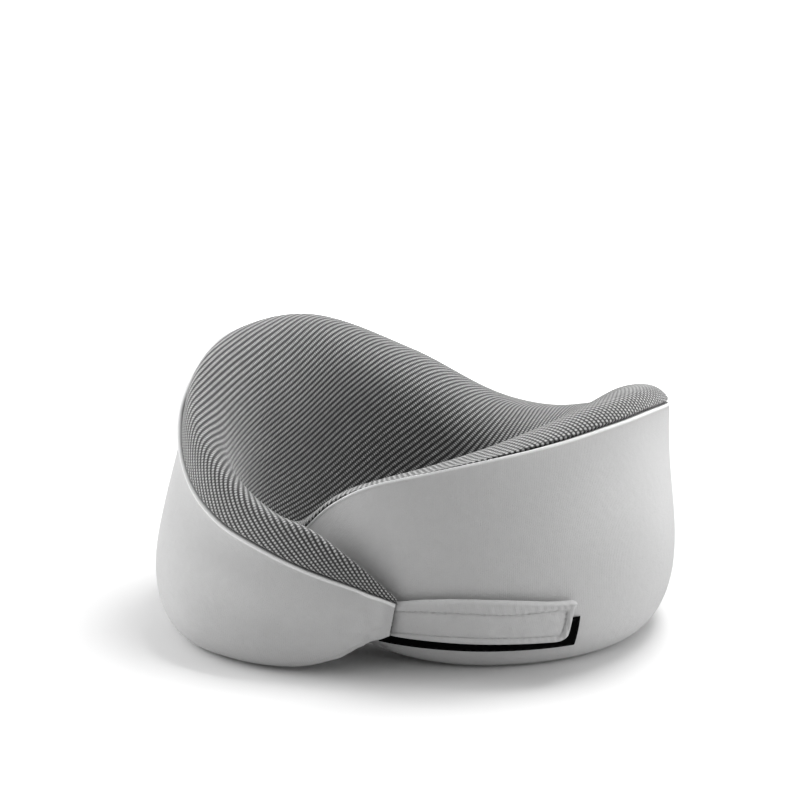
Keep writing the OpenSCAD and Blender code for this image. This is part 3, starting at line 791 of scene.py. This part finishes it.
# ------------------------------------------------------------------ materials
class Graph:
    """Short calls for adding and linking the nodes of one tree."""

    def __init__(self, tree):
        self.tree = tree

    def node(self, kind, **settings):
        node = self.tree.nodes.new(kind)
        for name, value in settings.items():
            setattr(node, name, value)
        return node

    def put(self, socket, value):
        if isinstance(value, bpy.types.NodeSocket):
            self.tree.links.new(value, socket)
        else:
            socket.default_value = value

    def fill(self, node, *values):
        """Put values into the first inputs and return the first output."""
        for socket, value in zip(node.inputs, values):
            self.put(socket, value)
        return node.outputs[0]

    def math(self, operation, *values):
        return self.fill(self.node("ShaderNodeMath", operation=operation), *values)

    def plus(self, first, second):
        return self.math("ADD", first, second)

    def minus(self, first, second):
        return self.math("SUBTRACT", first, second)

    def times(self, first, second):
        return self.math("MULTIPLY", first, second)

    def scale_add(self, value, scale, added):
        return self.math("MULTIPLY_ADD", value, scale, added)

    def sine(self, value):
        return self.math("SINE", value)

    def step(self, value, low, high, start=0.0, end=1.0):
        """Smooth change from start at low to end at high."""
        node = self.node("ShaderNodeMapRange", interpolation_type="SMOOTHSTEP")
        return self.fill(node, value, low, high, start, end)

    def mix(self, factor, first, second):
        node = self.node("ShaderNodeMix", data_type="FLOAT")
        for i, value in ((0, factor), (2, first), (3, second)):
            self.put(node.inputs[i], value)
        return node.outputs[0]

    def grey(self, value):
        return self.fill(self.node("ShaderNodeCombineColor"), value, value, value)

    def tint(self, value, red, green, blue):
        channels = [self.times(value, share) for share in (red, green, blue)]
        return self.fill(self.node("ShaderNodeCombineColor"), *channels)

    def fabric(self):
        return self.node("ShaderNodeAttribute", attribute_name="fab").outputs["Vector"]

    def object_mm(self):
        scale = self.node("ShaderNodeVectorMath", operation="SCALE")
        self.put(scale.inputs[0], self.node("ShaderNodeTexCoord").outputs["Object"])
        scale.inputs["Scale"].default_value = 1000.0
        return scale.outputs[0]

    def split(self, vector):
        node = self.node("ShaderNodeSeparateXYZ")
        self.put(node.inputs[0], vector)
        return node.outputs

    def noise(self, vector, scale, detail=3.0, rough=0.55):
        node = self.node("ShaderNodeTexNoise")
        for name, value in (("Vector", vector), ("Scale", scale), ("Detail", detail),
                            ("Roughness", rough)):
            self.put(node.inputs[name], value)
        return node.outputs["Fac"]

    def cells(self, vector, scale):
        """Distance to the nearest Voronoi point."""
        node = self.node("ShaderNodeTexVoronoi")
        self.put(node.inputs["Vector"], vector)
        self.put(node.inputs["Scale"], scale)
        return node.outputs["Distance"]

    def bump(self, height, distance, strength=1.0, normal=None):
        """Bump of a height; distance is in metres."""
        node = self.node("ShaderNodeBump")
        self.put(node.inputs["Distance"], distance)
        self.put(node.inputs["Strength"], strength)
        self.put(node.inputs["Height"], height)
        if normal is not None:
            self.put(node.inputs["Normal"], normal)
        return node.outputs[0]


class Material(Graph):
    def __init__(self, name):
        self.material = bpy.data.materials.new(name)
        self.material.use_nodes = True
        super().__init__(self.material.node_tree)
        self.shader = self.tree.nodes["Principled BSDF"]

    def finish(self, color, rough, normal=None, **others):
        """Set the shader's inputs; in other names an underscore stands for a space."""
        self.put(self.shader.inputs["Base Color"], color)
        self.put(self.shader.inputs["Roughness"], rough)
        if normal is not None:
            self.put(self.shader.inputs["Normal"], normal)
        for name, value in others.items():
            self.put(self.shader.inputs[name.replace("_", " ")], value)
        return self.material


def knit(name, base, vary, gauge, sheen, mapped=True, painted_seam_light=False):
    """Fine smooth jersey: columns of small V stitches, mottled colour, soft sheen.

    base is the brightness, vary its mottling and gauge the stitch width in mm.
    """
    g = Material(name)
    vector = g.fabric() if mapped else g.object_mm()
    x, y = g.split(vector)[:2]
    zigzag = g.times(g.sine(g.times(x, 2 * math.pi / gauge)), 0.22 * gauge)
    column = g.math("ABSOLUTE", g.sine(g.times(x, math.pi / gauge)))
    course = g.sine(g.times(g.plus(y, zigzag), 2 * math.pi / (gauge * 0.8)))
    stitch = g.plus(g.times(column, 0.6), g.times(course, 0.4))
    clouds = g.noise(vector, scale=0.035)
    patches = g.noise(vector, scale=0.28)
    fibres = g.noise(vector, scale=1.6, detail=2.0, rough=0.7)
    value = 1.0
    # each pattern with its mean and its share of the mottling
    for pattern, mean, share in ((clouds, 0.5, 1.2), (patches, 0.5, 1.2),
                                 (fibres, 0.5, 2.4), (stitch, 0.4, 0.6)):
        value = g.scale_add(g.minus(pattern, mean), vary * share, value)
    value = g.times(value, base)
    if painted_seam_light:
        # painted highlight on the cloth's turn beside the seam, where the rolled edge catches the
        # light
        turn = g.times(g.step(y, -2.4, -1.3), g.step(y, -0.7, -0.3, 1.0, 0.0))
        value = g.times(value, g.mix(turn, 1.0, 1.55))
        # painted shade in the seam itself, where the cloth dives into the groove
        value = g.times(value, g.step(y, -0.6, -0.1, 1.0, 0.25))
    height = g.plus(g.times(stitch, 0.5), g.times(fibres, 0.9))
    normal = g.bump(height, distance=0.00018)
    normal = g.bump(patches, distance=0.0006, strength=0.5, normal=normal)
    return g.finish(g.tint(value, red=1.0, green=1.0, blue=1.0),
                    g.scale_add(fibres, 0.12, 0.8), normal, Sheen_Weight=sheen,
                    Sheen_Roughness=0.5, Specular_IOR_Level=0.25)


RIB_PITCH = 2.42


def spacer_mesh():
    """Warp-knit spacer mesh: pale dots in staggered rows along raised ribs, on a dark ground."""
    g = Material("mesh_dots")
    vector = g.fabric()
    x, y, z = g.split(vector)
    ribs = g.math("DIVIDE", x, RIB_PITCH)
    rib_number = g.math("FLOOR", ribs)
    off_rib = g.minus(g.math("FRACT", ribs), 0.5)
    stagger = g.times(g.math("MODULO", g.math("ABSOLUTE", rib_number), 2.0), 0.5)
    dots = g.plus(y, stagger)
    dot_number = g.math("FLOOR", dots)
    off_dot = g.minus(g.math("FRACT", dots), 0.5)
    # each dot a little different
    random = g.node("ShaderNodeTexWhiteNoise", noise_dimensions="2D")
    cell = g.fill(g.node("ShaderNodeCombineXYZ"), rib_number, dot_number, 0.0)
    g.put(random.inputs["Vector"], cell)
    across = g.math("DIVIDE", off_rib, 0.36)
    along = g.math("DIVIDE", off_dot, 0.42)
    distance = g.math("SQRT", g.plus(g.times(across, across), g.times(along, along)))
    dot = g.step(distance, 0.45, 1.05, 1.0, 0.0)
    rib = g.step(g.math("ABSOLUTE", off_rib), 0.12, 0.42, 1.0, 0.0)
    dot = g.times(dot, g.scale_add(random.outputs["Value"], 0.35, 0.82))
    fibres = g.noise(vector, scale=2.2, detail=2.0, rough=0.7)
    clouds = g.noise(vector, scale=0.03, detail=2.0)
    value = g.scale_add(rib, 0.085, 0.046)
    value = g.scale_add(dot, 0.50, value)
    value = g.times(value, g.step(z, 0.4, 1.6, 0.12, 1.0))   # painted shade where the mesh dives into the seam
    value = g.times(value, g.scale_add(fibres, 0.5, 0.75))
    value = g.times(value, g.scale_add(clouds, 0.3, 0.85))
    height = g.plus(g.times(rib, 0.5), g.times(dot, 0.8))
    return g.finish(g.tint(value, red=1.0, green=1.0, blue=1.0), 0.72,
                    g.bump(height, distance=0.00055, strength=0.9), Sheen_Weight=0.6,
                    Sheen_Roughness=0.4, Specular_IOR_Level=0.3)


def foam_pores():
    """Pale yellowish foam with fine pores."""
    g = Material("foam_pores")
    vector = g.object_mm()
    pore = g.step(g.cells(vector, scale=1.4), 0.1, 0.5)
    clouds = g.noise(vector, scale=0.05)
    value = g.scale_add(pore, 0.12, g.scale_add(clouds, 0.08, 0.66))
    return g.finish(g.tint(value, red=1.0, green=0.95, blue=0.80), 0.95,
                    g.bump(pore, distance=0.0003))


def loop_pile():
    """Napped loop tape: a dense dark pile."""
    g = Material("loop_pile")
    vector = g.object_mm()
    nap = g.noise(vector, scale=2.4, detail=4.0, rough=0.75)
    patches = g.noise(vector, scale=0.6, detail=2.0)
    value = g.scale_add(nap, 0.0030, g.scale_add(patches, 0.0010, 0.0002))
    return g.finish(g.grey(value), 0.95, g.bump(nap, distance=0.0005), Sheen_Weight=0.0,
                    Specular_IOR_Level=0.03)


def hook_pile():
    """Dark tape studded with small hooks."""
    g = Material("hook_pile")
    dot = g.step(g.cells(g.object_mm(), scale=1.1), 0.15, 0.45, 1.0, 0.0)
    return g.finish(g.grey(g.scale_add(dot, 0.02, 0.006)), 0.5, g.bump(dot, distance=0.0008))


def thread(name, base, gloss, sheen):
    """Twisted sewing thread."""
    g = Material(name)
    vector = g.object_mm()
    x, y, z = g.split(vector)
    twist = g.sine(g.times(g.plus(g.plus(x, y), g.times(z, 2.0)), 9.0))
    fibres = g.noise(vector, scale=5.0, detail=2.0)
    value = g.times(g.scale_add(twist, 0.08, 0.92), base)
    value = g.times(value, g.scale_add(fibres, 0.3, 0.85))
    return g.finish(g.grey(value), 0.5, g.bump(twist, distance=0.0001), Sheen_Weight=sheen,
                    Specular_IOR_Level=gloss)


def zip_tape():
    """Woven tape."""
    g = Material("zip_tape_weave")
    vector = g.object_mm()
    x, y = g.split(vector)[:2]
    weave = g.times(g.sine(g.times(x, 11.0)), g.sine(g.times(y, 11.0)))
    patches = g.noise(vector, scale=1.5)
    value = g.times(g.scale_add(weave, 0.10, 0.9), g.scale_add(patches, 0.2, 0.30))
    return g.finish(g.grey(value), 0.85, g.bump(weave, distance=0.00015), Sheen_Weight=0.2)


def zip_teeth():
    g = Material("zip_teeth_moulded")
    clouds = g.noise(g.object_mm(), scale=1.5)
    return g.finish(g.grey(g.scale_add(clouds, 0.15, 0.36)), g.scale_add(clouds, 0.2, 0.32),
                    g.bump(clouds, distance=0.00005))


def zip_metal():
    g = Material("zip_brushed")
    vector = g.object_mm()
    patches = g.noise(vector, scale=0.8, detail=4.0)
    grain = g.noise(vector, scale=6.0, rough=0.7)
    value = g.times(g.scale_add(patches, 0.25, 0.85), 0.55)
    return g.finish(g.grey(value), g.scale_add(grain, 0.3, 0.38 - 0.15),
                    g.bump(grain, distance=0.00005), Metallic=1.0)


MATERIALS = {
    "cover": knit("cover_knit", base=0.60, vary=0.05, gauge=0.9, sheen=0.25, painted_seam_light=True),
    "strap": knit("strap_knit", base=0.60, vary=0.06, gauge=0.8, sheen=0.25),
    "mesh": spacer_mesh(),
    "foam": foam_pores(),
    "liner": knit("liner_jersey", base=0.75, vary=0.05, gauge=0.8, sheen=0.1, mapped=False),
    "loop": loop_pile(),
    "hook": hook_pile(),
    "thread": thread("thread_pale", base=0.62, gloss=0.5, sheen=0.3),
    "dark_thread": thread("thread_dark", base=0.006, gloss=0.08, sheen=0.0),
    "tape": zip_tape(),
    "teeth": zip_teeth(),
    "metal": zip_metal(),
}


def dress(piece, material):
    piece.data.materials.clear()
    piece.data.materials.append(MATERIALS[material])
    return piece


# ------------------------------------------------------------------ the two halves of the ring
HALF_ENDINGS = {"left": ("_back", "_left"), "right": ("_right",)}


def join_ring(piece, side, material, node):
    """Dress one half's piece, bake its transform and hide the CAD parts that it stands in for."""
    dress(piece, material)
    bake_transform(piece)
    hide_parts(*[node + ending for ending in HALF_ENDINGS[side]])


for side in ("left", "right"):
    cover = sheet_piece("outer_cover_" + side + "_half", cover_row, side)
    join_ring(cover, side, "cover", "outer_cover")
    panel = sheet_piece("mesh_panel_" + side + "_half", mesh_row, side)
    join_ring(panel, side, "mesh", "mesh_panel")
    join_ring(foam_piece(side), side, "foam", "foam_core")
    join_ring(liner_piece(side), side, "liner", "foam_liner")

# ------------------------------------------------------------------ strap
STRAP_START, STRAP_END = 20.5, 56.5      # turns of the strap's root and free end
STRAP_GAP = 3.15                         # from the right arm's outside to the strap's inner face
STRAP_RADIUS, STRAP_END_RADIUS = 130, 133   # turn angles into lengths along the strap
STRAP_EDGE = 0.3                         # thickness at the very border
# (turns, values)
STRAP_TOP = ([19, 20.5, 26, 31.5, 36.5, 42, 47, 51, 57],
             [35.2, 35.4, 37.7, 38.9, 39.2, 38.9, 38.1, 37.1, 36.2])
STRAP_BOTTOM = ([18, 27, 36, 45, 57], [17.5, 17.1, 16.8, 16.5, 15.9])
HEM_TOP = ([20, 26, 31, 37, 42, 46, 50, 54], [4.2, 5.4, 6.2, 6.6, 7.0, 6.3, 4.7, 3.9])
HEM_BOTTOM = ([20, 27, 34, 54], [2.6, 3.4, 3.8, 3.7])
HEM_END = 3.4
GROOVE = 4                               # value of strap_field() on the stitched groove
FIELD_SHARPNESS = 1.1


def at_turn(table, turn):
    return float(np.interp(turn, *table))


def corner(turn, length, height):
    """Cut of a rounded corner whose length is in degrees from the free end."""
    t = max(0.0, (turn - (STRAP_END - length)) / length)
    return height * (1 - math.sqrt(max(0.0, 1 - t * t)))


def strap_edges(turn):
    """Heights of the lower and upper edge; the lower corner is round, the upper one tight."""
    return (at_turn(STRAP_BOTTOM, turn) + corner(turn, 2.4, 6.0),
            at_turn(STRAP_TOP, turn) - corner(turn, 1.2, 2.6))


def strap_lean(turn, z):
    """The strap's root and end lean: lower points lie further back along the ring."""
    t = (turn - STRAP_START) / (STRAP_END - STRAP_START)
    return turn - lerp(TIP_LEAN, 0.9, t) * (LEAN_TOP - z) / LEAN_HEIGHT


wall_profiles = {}


def wall_radius(turn, z):
    """Outside radius of the right arm at a height."""
    key = round(turn, 3)
    if key not in wall_profiles:
        curves = section_curves(180 - turn)
        path = np.concatenate([bezier(curves[4]), bezier(curves[0])[1:]])
        wall_profiles[key] = (path[:, 1], path[:, 0])
    return np.interp(z, *wall_profiles[key])


def front(turn, z, distance):
    """Point in metres, at a distance off the right arm's outside."""
    radius = wall_radius(turn, z) + distance
    radians = math.radians(turn)
    return (np.array([radius * math.sin(radians), -radius * math.cos(radians), z])
            + CENTRE) * MM


def strap_field(turn, z):
    """Smoothed distance from the strap's border, scaled to the hems, and the plain distance."""
    low, high = strap_edges(turn)
    from_end = math.radians(STRAP_END - turn) * STRAP_END_RADIUS
    scaled = [(high - z) * GROOVE / at_turn(HEM_TOP, turn),
              (z - low) * GROOVE / at_turn(HEM_BOTTOM, turn), from_end * GROOVE / HEM_END]
    total = sum(math.exp(-FIELD_SHARPNESS * max(x, -1)) for x in scaled)
    return -math.log(total) / FIELD_SHARPNESS, min(high - z, z - low, from_end)


PUFF_TURNS = np.linspace(STRAP_START, STRAP_END - 0.4, 53)
PUFF_UP = np.linspace(0, 1, 19)          # fractions of the strap's height


def settle_puff():
    """Bulging of the strap between its border and its stitches, as pressed cloth."""
    sheet, pinned = [], []
    for turn in PUFF_TURNS:
        low, high = strap_edges(turn)
        heights = low + (high - low) * PUFF_UP
        sheet.append([front(strap_lean(turn, z), z, STRAP_GAP + 2.3) for z in heights])
        fields = [strap_field(turn, z) for z in heights]
        pinned.append([abs(field - GROOVE) < 0.75 or plain < 1.0 for field, plain in fields])
    # reversed so that the sheet's normals point outwards
    puffed = cloth_offsets(np.array(sheet)[:, ::-1], np.array(pinned)[:, ::-1],
                           grow=0.03, pressure=4.0, limit=0.45)
    return puffed[:, ::-1] * 0.35


PUFF = np.zeros((len(PUFF_TURNS), len(PUFF_UP)))
PUFF = settle_puff()


def puff(turn, z):
    low, high = strap_edges(turn)
    up = np.clip((z - low) / max(high - low, 1e-6), 0, 1) * (len(PUFF_UP) - 1)
    row = (turn - PUFF_TURNS[0]) / (PUFF_TURNS[1] - PUFF_TURNS[0])
    column = cubic(PUFF, np.array([np.clip(row, 0, len(PUFF_TURNS) - 1)]))[0]
    return float(cubic(column[:, None], np.array([up]))[0, 0])


def strap_height(turn, z):
    """Height of the strap's outside above its inner face."""
    along = math.radians(turn) * STRAP_RADIUS
    field, plain = strap_field(turn, z)
    end = float(smooth((turn - 51.5) / 4.0))
    hem = lerp(2.75, 3.25, end) + 0.25 * bell(field, 1.6, 1.2)
    flat = 2.35 + 0.12 * float(ripple(along, z, 23, 19, 2, 5))
    groove = lerp(0.75, 1.05, end) * bell(field, GROOVE, lerp(0.42, 0.75, end))
    height = lerp(hem, flat, float(smooth((field - 3.5) / 1.3))) - groove
    # small gathers where the end and the lower hem are turned in
    low_share = 1 if z < 27 else 0.6
    gather = 0.06 + 0.20 * float(smooth((turn - 40) / 10)) * low_share
    height += (bell(field, 2.6, 1.3) * gather
               * math.sin(math.tau * (along + 0.4 * z) / 3.1 + 1.3 * math.sin(along / 5.0)))
    # soft curl of the upper corner
    height += 1.3 * bell(turn, 56.0, 0.75) * bell(z, 35.6, 1.5)
    height += puff(turn, z)
    return STRAP_EDGE + (height - STRAP_EDGE) * rounded(plain, 1.5)


def strap_piece():
    end_steps = np.sin(np.linspace(0, 1, 36)[1:] * math.pi / 2)
    turns = np.concatenate([np.linspace(STRAP_START - 0.5, STRAP_END - 3.0, 124),
                            STRAP_END - 3.0 * (1 - end_steps)])
    # rows are closer together towards both edges
    even = np.linspace(-1, 1, 61)
    levels = np.sign(even) * (1 - (1 - np.abs(even))**1.25)
    outer, inner, fabric = [], [], []
    for turn in turns:
        low, high = strap_edges(turn)
        root = float(smooth((turn - STRAP_START + 0.5) / 1.5))
        for level in levels:
            z = (low + high) / 2 + (high - low) / 2 * level
            height = max(STRAP_EDGE, strap_height(turn, z) * lerp(0.8, 1, root))
            curl = 0.5 * bell(turn, 56.3, 0.6) * bell(z, 35.4, 1.6)
            spot = (strap_lean(turn, z) + curl, z + curl * 1.2)
            outer.append(front(*spot, STRAP_GAP + height))
            inner.append(front(*spot, STRAP_GAP))
            fabric.append((math.radians(turn) * STRAP_RADIUS, z, 0))
    shape = (len(turns), len(levels), 3)
    outer, inner, fabric = (np.array(grid).reshape(shape) for grid in (outer, inner, fabric))
    return shell("strap_padded", outer, inner, fabric, sharp_rim=False)


strap = dress(strap_piece(), "strap")
tuple(front(19.5, 27, STRAP_GAP))
tuple(front(25.5, 27, STRAP_GAP))
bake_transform(strap)
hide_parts("strap_fabric")

# ------------------------------------------------------------------ stitches
STITCH_SIDES = 8
# Columns: share of the stitch's length, share of its thickness, lift in thread radii.
STITCH_RINGS = [(0.0, 0.35, -0.8), (0.1, 0.8, -0.3), (0.3, 1.0, 0.1), (0.5, 1.0, 0.2),
                (0.7, 1.0, 0.1), (0.9, 0.8, -0.3), (1.0, 0.35, -0.8)]


def stitch_row(name, stitches, radius, material):
    """Short bent capsules between pairs of points; the radius is in metres."""
    points, faces = [], []
    for start, end, outward in stitches:
        step = end - start
        length = np.linalg.norm(step)
        along = step / length
        outward = unit(outward - along * (outward @ along))
        side = np.cross(along, outward)
        faces += capped_faces(len(STITCH_RINGS), STITCH_SIDES, len(points))
        for share, thickness, lift in STITCH_RINGS:
            middle = start + along * length * share + outward * radius * lift
            for k in range(STITCH_SIDES):
                around_thread = math.tau * k / STITCH_SIDES
                spoke = side * math.cos(around_thread) + outward * math.sin(around_thread)
                points.append(middle + spoke * radius * thickness)
    row = make_mesh(name, points, faces)
    work = bmesh.new()
    work.from_mesh(row.data)
    bmesh.ops.recalc_face_normals(work, faces=work.faces)
    work.to_mesh(row.data)
    work.free()
    shade_smooth(row.data)
    return dress(row, material)


def stitch_spans(start, end, count):
    """Start and end of evenly spaced stitches, each seven tenths of the pitch long."""
    pitch = (end - start) / count
    firsts = [start + (i + 0.15) * pitch for i in range(count)]
    return [(first, first + 0.7 * pitch) for first in firsts]


def outwards(turn):
    return np.array([math.sin(math.radians(turn)), -math.cos(math.radians(turn)), 0])


def strap_stitch_point(turn, z):
    return front(strap_lean(turn, z), z, STRAP_GAP + strap_height(turn, z) + 0.12)


def top_hem_z(turn):
    return strap_edges(turn)[1] - at_turn(HEM_TOP, turn)


def bottom_hem_z(turn):
    return strap_edges(turn)[0] + at_turn(HEM_BOTTOM, turn)


def strap_stitches():
    """Stitches along both hems and across the free end."""
    stitches = []
    for hem_z in (top_hem_z, bottom_hem_z):
        for span in stitch_spans(STRAP_START + 0.8, STRAP_END - 3.2, 25):
            start, end = (strap_stitch_point(turn, hem_z(turn)) for turn in span)
            stitches.append((start, end, outwards(span[0])))
    turn = STRAP_END - math.degrees(HEM_END / STRAP_END_RADIUS)
    for i in range(4):
        z = 21.6 + i * 2.7
        stitches.append((strap_stitch_point(turn, z), strap_stitch_point(turn, z + 1.9),
                         outwards(turn)))
    return stitches


hem_stitches = stitch_row("strap_stitch_row", strap_stitches(), 0.0003, "thread")
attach(hem_stitches, "strap")
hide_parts("strap_stitching")

# ------------------------------------------------------------------ loop patch and hook pad
PATCH_START, PATCH_END = 14.6, 59.0      # turns
PATCH_BOTTOM, PATCH_TOP = 11.3, 26.7
PATCH_INSIDE, PATCH_OUTSIDE = 0.35, 1.5  # distances off the right arm
HOOK_HALF_HEIGHT = 6.6


def band_piece(name, turns, edges, inside, outside, rows, material, rough):
    """Flat band round the right arm, with rounded borders and a rough outside.

    edges(turn) gives its lower and upper height.
    """
    outer, inner, fabric = [], [], []
    for turn in turns:
        low, high = edges(turn)
        along = math.radians(turn) * STRAP_RADIUS
        for t in np.linspace(0, 1, rows):
            z = low + (high - low) * t
            border = min(z - low, high - z, math.radians(turn - turns[0]) * STRAP_RADIUS,
                         math.radians(turns[-1] - turn) * STRAP_RADIUS)
            share = lerp(0.45, 1.0, rounded(border, 0.35))
            nap = rough * float(ripple(along, z, 1.7, 1.5, 5, 6))
            outer.append(front(turn, z, lerp(inside, outside, share) + nap))
            inner.append(front(turn, z, inside))
            fabric.append((along, z, 0))
    shape = (len(turns), rows, 3)
    outer, inner, fabric = (np.array(grid).reshape(shape) for grid in (outer, inner, fabric))
    return dress(shell(name, outer, inner, fabric), material)


def patch_edges(turn):
    return PATCH_BOTTOM, PATCH_TOP


def hook_edges(turn):
    middle = (at_turn(STRAP_BOTTOM, turn) + at_turn(STRAP_TOP, turn)) / 2 - 0.4
    return middle - HOOK_HALF_HEIGHT, middle + HOOK_HALF_HEIGHT


def patch_stitches():
    """Stitches along both long sides of the patch and across its end at +X."""
    stitches = []
    for z in (PATCH_BOTTOM + 1.2, PATCH_TOP - 1.2):
        for start, end in stitch_spans(PATCH_START + 0.8, PATCH_END - 0.8, 24):
            stitches.append((front(start, z, PATCH_OUTSIDE), front(end, z, PATCH_OUTSIDE),
                             outwards(start)))
    turn = PATCH_END - 0.6
    for i in range(4):
        z = 13.2 + i * 3.1
        stitches.append((front(turn, z, PATCH_OUTSIDE), front(turn, z + 2.2, PATCH_OUTSIDE),
                         outwards(turn)))
    return stitches


patch = band_piece("loop_patch_pile", np.linspace(PATCH_START, PATCH_END, 200), patch_edges,
                   PATCH_INSIDE, PATCH_OUTSIDE, rows=36, material="loop", rough=0.03)
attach(patch, "right_arm")
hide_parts("loop_patch")

hook = band_piece("strap_hook_pile", np.linspace(25.8, 52.8, 90), hook_edges,
                  STRAP_GAP - 1.15, STRAP_GAP + 0.1, rows=24, material="hook", rough=0.04)
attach(hook, "strap")
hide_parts("strap_hook_pad")

sewing = stitch_row("loop_patch_stitch_row", patch_stitches(), 0.00026, "dark_thread")
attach(sewing, "right_arm")
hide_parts("loop_patch_stitching")

# ------------------------------------------------------------------ zip parts keep their CAD shapes
ZIP_PARTS = {
    "tape": ("zip_tape_outer", "zip_tape_inner"),
    "teeth": ("zip_teeth_outer", "zip_teeth_inner"),
    "metal": ("zip_top_stop", "zip_bottom_stop", "zip_slider", "zip_pull_tab"),
}
for material, parts in ZIP_PARTS.items():
    for part in parts:
        dress(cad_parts[part], material)


# ------------------------------------------------------------------ floor
def floor_paper():
    """White paper, brighter to the camera and glowing away from the ring."""
    g = Material("floor_paper")
    x, y = g.split(g.node("ShaderNodeNewGeometry").outputs["Position"])[:2]
    distance = g.math("SQRT", g.plus(g.times(x, x), g.times(y, y)))
    far = g.step(distance, 0.25, 0.75)
    seen = g.node("ShaderNodeLightPath").outputs["Is Camera Ray"]
    return g.finish(g.grey(g.mix(seen, 0.66, 0.90)), 0.5, Specular_IOR_Level=0.35,
                    Emission_Color=(1.0, 1.0, 1.0, 1.0),
                    Emission_Strength=g.times(g.times(far, seen), 1.0))


FLOOR_HALF = 40                          # metres
floor_mesh = bpy.data.meshes.new("floor")
floor_mesh.from_pydata([(x * FLOOR_HALF, y * FLOOR_HALF, 0)
                        for x, y in ((-1, -1), (1, -1), (1, 1), (-1, 1))], [], [(0, 1, 2, 3)])
floor = bpy.data.objects.new("floor", floor_mesh)
scene.collection.objects.link(floor)
floor.location.z = -0.0004
floor_mesh.materials.append(floor_paper())

# ------------------------------------------------------------------ camera
AZIMUTH = math.radians(27.12)            # round from the front towards +X
ELEVATION = math.radians(14.05)
CAMERA_DISTANCE = 1.3                    # metres
to_camera = Vector((math.sin(AZIMUTH) * math.cos(ELEVATION),
                    -math.cos(AZIMUTH) * math.cos(ELEVATION), math.sin(ELEVATION)))
right = Vector((math.cos(AZIMUTH), math.sin(AZIMUTH), 0))
up = to_camera.cross(right)
target = (right * -13.29 + up * 40.91 + Vector((0, 0, 60)) + Vector(CENTRE)) * MM

camera_data = bpy.data.cameras.new("camera")
camera = bpy.data.objects.new("camera", camera_data)
scene.collection.objects.link(camera)
axes = Matrix((right, up, to_camera)).transposed()
camera.matrix_world = axes.to_4x4()
camera.location = target + to_camera * CAMERA_DISTANCE
camera_data.sensor_width = 36
camera_data.lens = 115.5339
camera_data.clip_start = 0.05
camera_data.clip_end = 200
scene.camera = camera

# ------------------------------------------------------------------ lights (metres and watts)
middle = Vector(CENTRE) * MM + Vector((0, 0, 0.06))
forward = Vector((to_camera.x, to_camera.y, 0)).normalized()   # level, towards the camera


def area_light(name, location, width, height, power):
    """Rectangular light aimed at the middle of the ring."""
    data = bpy.data.lights.new(name, "AREA")
    data.energy = power
    data.shape = "RECTANGLE"
    data.size = width
    data.size_y = height
    light = bpy.data.objects.new(name, data)
    scene.collection.objects.link(light)
    light.location = location
    light.rotation_mode = "QUATERNION"
    light.rotation_quaternion = (middle - location).to_track_quat("-Z", "Y")


area_light("soft_back_top", middle - forward * 0.62 + right * 0.48 + Vector((0, 0, 1.4)),
           width=0.8, height=0.8, power=22)
area_light("soft_left", middle - right * 1.25 - forward * 0.35 + Vector((0, 0, 0.5)),
           width=0.9, height=1.0, power=13)
area_light("soft_right", middle + right * 1.15 + forward * 0.3 + Vector((0, 0, 0.2)),
           width=0.9, height=0.8, power=6)


# ------------------------------------------------------------------ world
def studio_world():
    """White to the camera; as light, brighter from the sides, from above and from behind."""
    world = bpy.data.worlds.new("studio")
    scene.world = world
    world.use_nodes = True
    g = Graph(world.node_tree)
    background = g.tree.nodes["Background"]
    background.inputs["Color"].default_value = (1, 1, 1, 1)
    ray = g.node("ShaderNodeTexCoord").outputs["Generated"]

    def towards(direction):
        node = g.node("ShaderNodeVectorMath", operation="DOT_PRODUCT")
        g.put(node.inputs[0], ray)
        g.put(node.inputs[1], tuple(direction))
        return node.outputs["Value"]

    sideways = g.math("ABSOLUTE", towards(right))
    glow = g.scale_add(g.step(sideways, 0.35, 0.95), 0.52, 0.16)
    glow = g.scale_add(g.step(towards((0, 0, 1)), 0.35, 0.95), 0.35, glow)
    glow = g.scale_add(g.step(towards(forward), -0.2, -0.9), 0.04, glow)
    seen = g.node("ShaderNodeLightPath").outputs["Is Camera Ray"]
    g.put(background.inputs["Strength"], g.mix(seen, glow, 1.0))


studio_world()

scene.view_settings.view_transform = "Standard"
scene.view_settings.look = "None"
scene.view_settings.exposure = 0.0
scene.view_settings.gamma = 1.0
